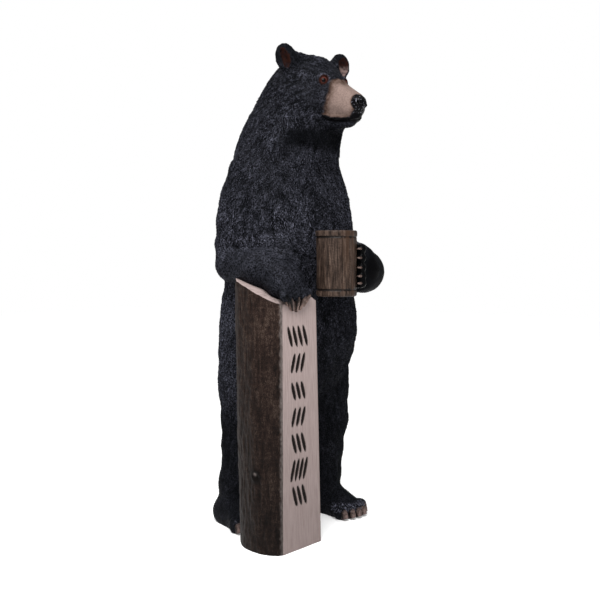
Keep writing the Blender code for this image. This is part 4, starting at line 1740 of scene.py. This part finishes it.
@dataclass(frozen=True)
class BarkPaint(PostPaint):
    """Moulded bark washed dark brown, with the ridges rubbed back to grey-tan, matt.

    Fine upright fibres, pale flecks and faint curved lines break up the brown, and the edge beside the face
    is worn pale. A painted highlight sits in the knot, and its hollow is painted dark as shade.
    """

    name: str = "resin_bark_brown_wash"
    hollow: str = "#0f0a08"
    middle: str = "#261b17"
    ridge: str = "#4b3f37"
    # colour of the worn edge and also of the painted highlight in the knot
    worn: str = "#756c69"
    fibres: float = 360.0  # fibres in a metre; each is about 3 mm wide and four times as long
    flecks: float = 330.0  # flecks in a metre; each is about 3 mm across
    blotches: float = 9.0  # blotches in a metre
    arcs: float = 16.0  # density of the curved lines, a few centimetres apart

    def inputs(self, tree: NodeTree, place: NodeSocket) -> Links:
        """Brown from the hollows to the ridges, with a worn edge."""
        crest, edge = (add(tree, "Attribute", attribute_name=key) for key in ("crest", "worn"))
        grain = add(tree, "Mapping", {"Vector": place, "Scale": (1.0, 1.0, 0.24)})
        kinds = ((grain, self.fibres, 2.0), (place, self.flecks, 2.0), (place, self.blotches, 4.0))
        fibre, fleck, broad = (
            add(tree, "TexNoise", {"Vector": source, "Scale": scale, "Detail": detail})
            for source, scale, detail in kinds
        )
        links = {"Vector": place, "Scale": self.arcs, "Distortion": 9.0, "Detail": 2.0, "Detail Scale": 0.6}
        arcs = add(tree, "TexWave", links, bands_direction="Z")
        total = 0.0
        for source, share in ((fibre, 0.47), (fleck, 0.74), (broad, 0.15), (crest, 0.22), (arcs, 0.05)):
            total = add(tree, "Math", [source, share, total], operation="MULTIPLY_ADD")
        ramp = add(tree, "ValToRGB", [add(tree, "MapRange", [total, 0.62, 1.12])])
        set_stops(ramp, ((0.0, self.hollow), (0.52, self.middle), (1.0, self.ridge)))
        # the worn attribute holds the pale worn edge and the painted highlight in the knot
        pale = add(tree, "Math", [edge, fibre], operation="MULTIPLY", use_clamp=True)
        coat = add(tree, "Mix", {0: pale, 6: ramp, 7: self.worn}, data_type="RGBA")
        # painted shade: the bark darkens towards the floor
        shade = self.washed(tree, place, coat, 0.42, 0.98)
        bump = add(tree, "Bump", {"Height": fibre, "Strength": 0.7, "Distance": 0.0015})
        return {"Base Color": shade, "Normal": bump, "Roughness": 0.6, "Specular IOR Level": 0.06}


@dataclass(frozen=True)
class SplitPaint(PostPaint):
    """Moulded split wood painted pinkish cream, with a faint brown wash in the grain and dark gouges."""

    name: str = "resin_split_wood_cream"
    cream: str = "#9b8c89"
    wash: str = "#7a6a66"
    ink: str = "#120c0a"
    fibres: float = 260.0  # fibres in a metre; each is about 4 mm wide

    def inputs(self, tree: NodeTree, place: NodeSocket) -> Links:
        """Cream with the wash in the grain and ink in the gouges."""
        grain = add(tree, "Mapping", {"Vector": place, "Scale": (1.0, 1.0, 0.06)})
        fine = add(tree, "TexNoise", {"Vector": grain, "Scale": self.fibres, "Detail": 4.0})
        share = add(tree, "MapRange", [fine, 0.38, 0.75, 0.0, 0.6])
        wood = add(tree, "Mix", {0: share, 6: self.cream, 7: self.wash}, data_type="RGBA")
        ink = add(tree, "Attribute", attribute_name="ink").outputs["Fac"]
        coat = add(tree, "Mix", {0: ink, 6: wood, 7: self.ink}, data_type="RGBA")
        # painted shade: the split wood darkens towards the floor
        shade = self.washed(tree, place, coat, 0.68, 1.05)
        bump = add(tree, "Bump", {"Height": fine, "Strength": 0.3, "Distance": 0.0008})
        return {"Base Color": shade, "Normal": bump, "Roughness": 0.7, "Specular IOR Level": 0.08}


@dataclass(frozen=True)
class Gouge:
    """One shallow painted stroke of the sign, straight with tapering ends.

    Args:
        middle: place across and up the face.
        lean: degrees from upright, clockwise.
        length: its length in metres.
        width: its width in metres.
    """

    middle: Pair
    lean: float
    length: float
    width: float

    def depth(self, across: Array, up: Array) -> Array:
        """How deep the stroke is at places of the face.

        Args:
            across: how far left each is.
            up: its height.

        Returns:
            Shares from 0 to 1.
        """
        lean = radians(self.lean)
        x, z = across - self.middle[0], up - self.middle[1]
        along = x * sin(lean) + z * cos(lean)
        side = x * cos(lean) - z * sin(lean)
        share = np.clip(np.abs(along) / (self.length / 2), 0, 1)
        half = self.width / 2 * np.sqrt(np.maximum(1 - share**2.5, 0))
        return ease(0.0008, -0.001, np.abs(side) - half) * (share < 1)


class Side(Enum):
    """The sides of the split log."""

    FACE = 0
    BARK = 1
    SPLIT = 2


@dataclass
class SignPost:
    """A quarter-split log: a flat face towards the front, bark on the outside, a split side at the back."""

    floor_edge: Row = (-0.074, -0.152)
    floor_bark: Rows = (
        (-0.286, -0.152), (-0.31, -0.132), (-0.321, -0.1), (-0.321, -0.052), (-0.297, 0.012),
        (-0.262, 0.06), (-0.209, 0.106),
    )
    top_edge: Row = (-0.087, -0.139)
    top_bark: Rows = (
        (-0.276, -0.14), (-0.304, -0.12), (-0.32, -0.088), (-0.324, -0.04), (-0.305, 0.024),
        (-0.274, 0.074), (-0.222, 0.122),
    )
    height: float = 0.837
    slope: float = 0.58
    curve: float = -0.8
    ridge: float = 0.04
    ridge_x: float = -0.155
    ridge_half: float = 0.075
    face_steps: int = 96
    bark_steps: int = 15
    back_steps: int = 18
    levels: int = 230
    knot: Row = (-0.322, -0.062, 0.262)
    glint: Row = (0.0, 0.005, 0.005)  # the painted highlight in the knot, from its middle
    stroke_counts: tuple[int, ...] = (4, 3, 3, 3, 3, 4, 3)
    stroke_pitches: Row = (0.028, 0.026, 0.026, 0.026, 0.026, 0.023, 0.026)
    stroke_middle: float = -0.192
    stroke_width: float = 0.018
    stroke_lean: float = 18.0
    stroke_depth: float = 0.003
    rows: Rows = (
        # lowest and highest level of each row of strokes
        (0.696, 0.77), (0.606, 0.674), (0.513, 0.577), (0.422, 0.488), (0.329, 0.4), (0.236, 0.311),
        (0.149, 0.221),
    )

    def top(self, x: Array, y: Array) -> Array:
        """Height of the hewn top."""
        back = y - self.floor_edge[1]
        ridge = self.ridge * np.exp(-2.0 * ((x - self.ridge_x) / self.ridge_half) ** 2)
        return self.height + self.slope * back + self.curve * back * back + ridge

    def outline(self, edge: Row, bark: Sequence[Row]) -> Array:
        """One section of the log, from the face's right edge round by the bark.

        Args:
            edge: the face's right edge.
            bark: places on the bark, the first at the face's left edge.

        Returns:
            The section's points across and deep.
        """
        face = np.linspace(edge, bark[0], self.face_steps + 1)[:-1]
        round_ = spline(bark, self.bark_steps)
        back = np.linspace(bark[-1], edge, self.back_steps + 1)[1:-1]
        return np.vstack([face, round_, back])

    def kinds(self) -> Array:
        """Which side of the log each point of the outline belongs to."""
        bark = self.bark_steps * (len(self.floor_bark) - 1) + 1
        counts = (self.face_steps, bark, self.back_steps - 1)
        return np.repeat([side.value for side in Side], counts)

    def gouges(self) -> Iterator[Gouge]:
        """Seven rows of slanting strokes."""
        for k, (low, high) in enumerate(self.rows):
            count = self.stroke_counts[k]
            lean = self.stroke_lean if k % 2 else -self.stroke_lean
            for j in range(count):
                across = self.stroke_middle + (j - (count - 1) / 2) * self.stroke_pitches[k]
                yield Gouge((across, (low + high) / 2), lean, (high - low) * 1.03, self.stroke_width)

    def relief(self, spots: Array, kinds: Array) -> tuple[Array, Array, Array]:
        """How the surface rises and falls.

        Args:
            spots: places on the plain log.
            kinds: the side that each belongs to.

        Returns:
            Its rise in metres, its crest from 0 to 1, and the ink of the strokes from 0 to 1.
        """
        upright = np.tile([0.0, 0.0, 1.0], (len(spots), 1))
        fibre = streaks(spots, upright, 0.045, 0.0075, 41)
        plates = streaks(spots, upright, 0.02, 0.013, 42, 5)
        bark = 0.0005 * fibre + 0.0006 * plates + 0.003 * cloud(spots, (0.05, 0.05, 0.16), 43)
        bark += 0.0006 * cloud(spots, 0.009, 48)
        wood = 0.0002 * streaks(spots, upright, 0.12, 0.007, 44) + 0.001 * cloud(spots, (0.06, 0.06, 0.2), 45)
        crest = 0.5 + 0.22 * fibre + 0.14 * plates
        away = norm(spots - np.array(self.knot), axis=1)
        bark += 0.003 * np.exp(-(((away - 0.016) / 0.006) ** 2)) - 0.006 * np.exp(-((away / 0.012) ** 2))
        # painted shade: the knot's hollow is painted dark
        crest -= 5.0 * np.exp(-((away / 0.016) ** 2))
        ink = np.zeros(len(spots))
        front = kinds == Side.FACE.value
        for stroke in self.gouges():
            ink[front] = np.maximum(ink[front], stroke.depth(spots[front, 0], spots[front, 2]))
        rise = np.where(kinds == Side.BARK.value, bark, wood) - self.stroke_depth * ink
        return rise, np.clip(crest, -2.0, 1.0), ink

    def build(self, bark_finish: Material, face_finish: Material) -> None:
        """Makes the post as one closed body.

        Args:
            bark_finish: finish of the bark.
            face_finish: finish of the face, the top and the split side.
        """
        low = self.outline(self.floor_edge, self.floor_bark)
        high = self.outline(self.top_edge, self.top_bark)
        sides = len(low)
        share = np.linspace(0.0, 1.0, self.levels + 1)[:, None, None]
        flat = low[None] * (1 - share) + high[None] * share
        level = share[:, :, 0] * self.top(*high.T)[None, :]
        spots = np.concatenate([flat, level[:, :, None]], 2).reshape(-1, 3)
        run = np.roll(low, -1, 0) - np.roll(low, 1, 0)
        out = unit(np.stack([run[:, 1], -run[:, 0]], 1))
        out *= np.sign(((low - low.mean(0)) * out).sum(1))[:, None]
        out = np.tile(np.concatenate([out, np.zeros((sides, 1))], 1), (self.levels + 1, 1))
        kinds = np.tile(self.kinds(), self.levels + 1)
        rise, crest, ink = self.relief(spots, kinds)
        corner = ease(0.0, 0.01, np.hypot(*(spots[:, :2] - flat[:, :1].repeat(sides, 1).reshape(-1, 2)).T))
        bark_edge = flat[:, self.face_steps : self.face_steps + 1].repeat(sides, 1).reshape(-1, 2)
        away = np.hypot(*(spots[:, :2] - bark_edge).T)
        spots = spots + out * (rise * corner * (0.25 + 0.75 * ease(0.0, 0.025, away)))[:, None]
        caps = []
        centre = high.mean(0)
        for inward in (0.04, 0.15, 0.3, 0.45, 0.6, 0.75, 0.9, 0.985):
            place = high * (1 - inward) + centre * inward
            caps.append(np.column_stack([place, self.top(*place.T)]))
        points, faces = tube(np.concatenate([spots.reshape(-1, sides, 3), np.array(caps)], 0))
        mesh = mesh_from("log", points, faces)
        worn = ease(0.014, 0.003, away + 0.004 * cloud(spots, 0.008, 46)) * 1.2
        glint = norm(spots - np.array(self.knot) - np.array(self.glint), axis=1)
        # a painted highlight in the knot goes into the same attribute as the worn edge
        worn = np.maximum(worn, 4.0 * np.exp(-((glint / 0.0045) ** 2)))
        hewn = np.clip(0.16 + 0.34 * cloud(points[len(spots) :], 0.007, 47), 0.0, 0.5)  # ink on the hewn top
        for key, values, top in (("crest", crest, 0.0 * hewn), ("ink", ink, hewn), ("worn", worn, 0.0 * hewn)):
            paint(mesh, key, np.concatenate([values, top]))
        piece("log", outward(mesh), bark_finish, "log", "sign_post")
        mesh.materials.append(face_finish)
        ring = np.arange(len(faces)) // sides
        bark = (self.kinds() == Side.BARK.value)[np.arange(len(faces)) % sides] & (ring < self.levels)
        bark[-2:] = False
        mesh.polygons.foreach_set("material_index", (~bark).astype(np.int32))


# ---------------- tankard


@dataclass(frozen=True)
class StavePaint(Finish):
    """Moulded wood grain washed brown, the ridges rubbed to grey-tan, some staves warmer, satin."""

    name: str = "resin_stave_wood_brown"
    dark: str = "#0e0907"
    brown: str = "#322721"
    light: str = "#52443c"
    warm: str = "#38281e"
    fibres: float = 330.0  # fibres in a metre; each is about 3 mm wide and nine times as long
    streaks: float = 55.0  # broad streaks in a metre

    def inputs(self, tree: NodeTree, place: NodeSocket) -> Links:
        """Brown from the joints to the ridges, warmer on one side."""
        crest, tint = (add(tree, "Attribute", attribute_name=key) for key in ("crest", "warm"))
        grain = add(tree, "Mapping", {"Vector": place, "Scale": (1.0, 1.0, 0.11)})
        fine = add(tree, "TexNoise", {"Vector": grain, "Scale": self.fibres, "Detail": 3.0})
        broad = add(tree, "TexNoise", {"Vector": grain, "Scale": self.streaks, "Detail": 2.0})
        total = add(tree, "Math", [fine, 0.9, crest], operation="MULTIPLY_ADD")
        ramp = add(tree, "ValToRGB", [add(tree, "MapRange", [total, 0.6, 1.22])])
        set_stops(ramp, ((0.0, self.dark), (0.5, self.brown), (1.0, self.light)))
        orange = add(tree, "MapRange", [broad, 0.42, 0.64])
        amount = add(tree, "Math", [orange, tint], operation="MULTIPLY", use_clamp=True)
        shade = add(tree, "Mix", {0: amount, 6: ramp, 7: self.warm}, data_type="RGBA")
        bump = add(tree, "Bump", {"Height": fine, "Strength": 0.4, "Distance": 0.0008})
        return {"Base Color": shade, "Normal": bump, "Roughness": 0.45, "Specular IOR Level": 0.12}


@dataclass
class Tankard:
    """The tankard of wooden staves between two raised bands, turned and hollow."""

    place: Row = (-0.056, -0.207, 0.868)
    height: float = 0.231
    radius: float = 0.0725
    taper: float = 0.002
    waist: float = 0.0014
    band: float = 0.021
    groove: float = 0.004
    groove_depth: float = 0.0026
    wall: float = 0.009
    base: float = 0.014
    rounding: float = 0.004
    staves: int = 17
    sides: int = 204
    steps: Pair = (0.012, 0.0042)  # between rings inside and outside

    def profile(self) -> Array:
        """Radius and height from the middle of the floor inside, over the rim and down to the foot."""
        top, low = self.radius, self.radius - self.taper
        bore = self.radius - self.taper - self.wall
        inside = [(0.002, self.base), (bore - self.rounding, self.base), (bore, self.base + self.rounding)]
        inside.append((bore + self.taper, self.height - self.rounding))
        inside.append((bore + self.taper + self.waist, self.height - 0.0008))
        outside = [(top - self.rounding, self.height), (top - 0.0012, self.height - 0.0015)]
        outside.append((top, self.height - self.rounding))
        for radius, edge, way in ((top, self.height - self.band, -1), (low, self.band, 1)):
            path = [
                (radius, edge - way * 0.002),
                (radius - 0.001, edge),
                (radius - self.groove_depth, edge + way * 0.3 * self.groove),
                (radius - self.groove_depth, edge + way * 0.7 * self.groove),
                (radius - self.waist, edge + way * self.groove),
            ]
            outside.extend(path if way < 0 else path[::-1])
        outside.extend([(low, self.rounding), (low - self.rounding, 0.0003), (0.002, 0.0003)])
        rows = np.array([*inside, *outside])
        dense = []
        for k, (a, b) in enumerate(zip(rows, rows[1:])):
            count = max(1, int(norm(b - a) / self.steps[k >= len(inside)]))
            dense.extend(a + (b - a) * j / count for j in range(count))
        return np.array([*dense, rows[-1]])

    def build(self, material: Material) -> None:
        """Makes the tankard as one closed body."""
        profile = self.profile()
        turns = 2 * np.pi * np.arange(self.sides) / self.sides
        radius, level = (np.repeat(column, self.sides) for column in profile.T)
        turn = np.tile(turns, len(profile))
        spots = np.stack([radius * np.cos(turn), radius * np.sin(turn), level], 1)
        upright = np.tile([0.0, 0.0, 1.0], (len(spots), 1))
        fibre = streaks(spots, upright, 0.06, 0.0048, 51)
        stave = turn / (2 * np.pi) * self.staves
        joint = ease(0.84, 1.0, np.abs((stave % 1.0) - 0.5) * 2.0)
        outer = np.arange(len(spots)) // self.sides > np.argmax(profile[:, 1])
        banded = (level > self.height - self.band) | (level < self.band)
        wall = (level > 0.002) & (radius > 0.03)
        shift = wall * (0.0004 * fibre - 0.001 * joint * (outer & ~banded))
        out = np.stack([np.cos(turn), np.sin(turn), np.zeros(len(turn))], 1)
        spots = spots + out * (shift * np.where(outer, 1.0, -1.0))[:, None]
        points, faces = tube((spots + np.array(self.place)).reshape(len(profile), self.sides, 3))
        mesh = outward(mesh_from("tankard", points, faces))
        sunk = [
            ease(0.004, 0.0015, np.abs(level - edge))
            for edge in (self.height - self.band - self.groove / 2, self.band + self.groove / 2)
        ]
        crest = 0.45 + 0.1 * fibre - 0.22 * joint * ~banded - 0.9 * np.maximum(*sunk)
        paint(mesh, "crest", np.clip(np.where(outer, crest, crest * 0.4), 0.0, 1.0))
        # the staves towards the bear's left paw are the warmer ones
        warm = 0.5 + 0.5 * np.cos(turn - radians(-30.0)) + 0.25 * lattice(np.stack([stave] * 3, 1), 52)
        paint(mesh, "warm", np.clip(warm, 0.0, 1.0) * outer)
        piece("tankard", mesh, material, "staves", "mug")


# ---------------- studio


class Studio:
    """A pale floor, soft light and the camera."""

    CAMERA = (-2.866, -2.244, 1.013)
    HEADING = 52.0  # degrees from +Y towards +X that it looks
    LENS = 58.08
    SENSOR = 36.0
    SHIFT = -0.075
    AMBIENT = 0.42  # brightness of the surroundings where they light the statue
    HALF = 12.0  # half the width of the floor
    AIM = Vector((0.0, 0.0, 1.1))  # what the lamps point at
    LAMPS = (
        # name, kind, place, size or angle, and power
        ("key", "AREA", (-1.8, -1.35, 2.9), 1.4, 95.0),
        ("top", "AREA", (-0.6, 0.9, 3.2), 1.5, 30.0),
        ("fill", "SUN", (-1.7, -0.7, 4.0), 0.9, 1.65),
    )

    def build(self) -> None:
        """Sets up the floor, the lights and the camera."""
        bpy.context.scene.view_settings.view_transform = "Standard"
        self.floor()
        self.lights()
        self.camera()

    def floor(self) -> None:
        """A plain pale floor."""
        mesh = bpy.data.meshes.new("floor")
        corners = [(x * self.HALF, y * self.HALF, 0) for x, y in ((-1, -1), (1, -1), (1, 1), (-1, 1))]
        mesh.from_pydata(corners, [], [(0, 1, 2, 3)])
        mesh.materials.append(FloorPaint().build())
        obj = show("floor", mesh)
        obj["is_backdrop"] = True

    def lights(self) -> None:
        """White surroundings, a broad soft key from above on the left and a weak even fill."""
        world = bpy.data.worlds.new("studio")
        bpy.context.scene.world = world
        world.use_nodes = True
        tree = world.node_tree
        seen = add(tree, "LightPath").outputs["Is Camera Ray"]
        strength = add(tree, "MapRange", {0: seen, 3: self.AMBIENT, 4: 1.0})
        feed(tree.nodes["Background"], {"Color": WHITE, "Strength": strength})
        for name, kind, place, size, power in self.LAMPS:
            lamp = bpy.data.lights.new(name, kind)
            lamp.energy = power
            setattr(lamp, "angle" if kind == "SUN" else "size", size)
            obj = show(name, lamp)
            obj.location = place
            obj.rotation_mode = "QUATERNION"
            obj.rotation_quaternion = (self.AIM - Vector(place)).to_track_quat("-Z", "Y")

    def camera(self) -> None:
        """A level camera at the height of the bear's elbow."""
        camera = bpy.data.cameras.new("camera")
        camera.sensor_width, camera.lens, camera.shift_y = self.SENSOR, self.LENS, self.SHIFT
        obj = show("camera", camera)
        obj.location = self.CAMERA
        obj.rotation_euler = (radians(90.0), 0.0, radians(-self.HEADING))
        bpy.context.scene.camera = obj


def main() -> None:
    """Builds the statue and its studio."""
    logging.basicConfig(level=logging.INFO, format="%(message)s")
    bear = Bear()
    tankard = Tankard()
    coat = Coat(bear, tankard)
    fur = FurPaint().build()
    tree = Locks.tree()
    tufts, short = Locks(), Locks(spacing=0.0041, length=0.0115, width=0.003, height=0.0011)
    shag = Locks("shag", 0.013, 0.026, 0.007, 0.0018, 0.4, 4)
    fringe = Locks("fringe", 0.006, 0.018, 0.0042, 0.003, 0.5, 3)
    for k, (name, low, high, cell) in enumerate(bear.blocks):
        clay = Clay((-0.35, -0.32, low - MARGIN), (0.46, 0.4, high + MARGIN), cell)
        bear.model(clay, tankard)
        clay.keep(low, high)
        skin = coat.mould(f"bear_{name}", clay)
        covers = [short if name == "head" else tufts, shag, *([fringe] if name == "legs" else [])]
        for locks in covers:
            tuft_name = f"{locks.cover}_{name}"
            mesh = locks.grow(tuft_name, skin, tree, fur, (low, high), 20 + 10 * k)
            piece(tuft_name, mesh, fur, "coat")
        piece(f"bear_{name}", skin, fur, "coat", "bear")
        if name == "head":
            coat.lacquer(skin, LacquerPaint().build())
    Claws(bear, tankard).build()
    Eyes(bear.head).build(EyePaint().build())
    SignPost().build(BarkPaint().build(), SplitPaint().build())
    tankard.build(StavePaint().build())
    Studio().build()
    low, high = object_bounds()
    {"cad": [list(c) for c in CAD_BOX], "visual": [list(low), list(high)]}


if __name__ == "__main__":
    main()
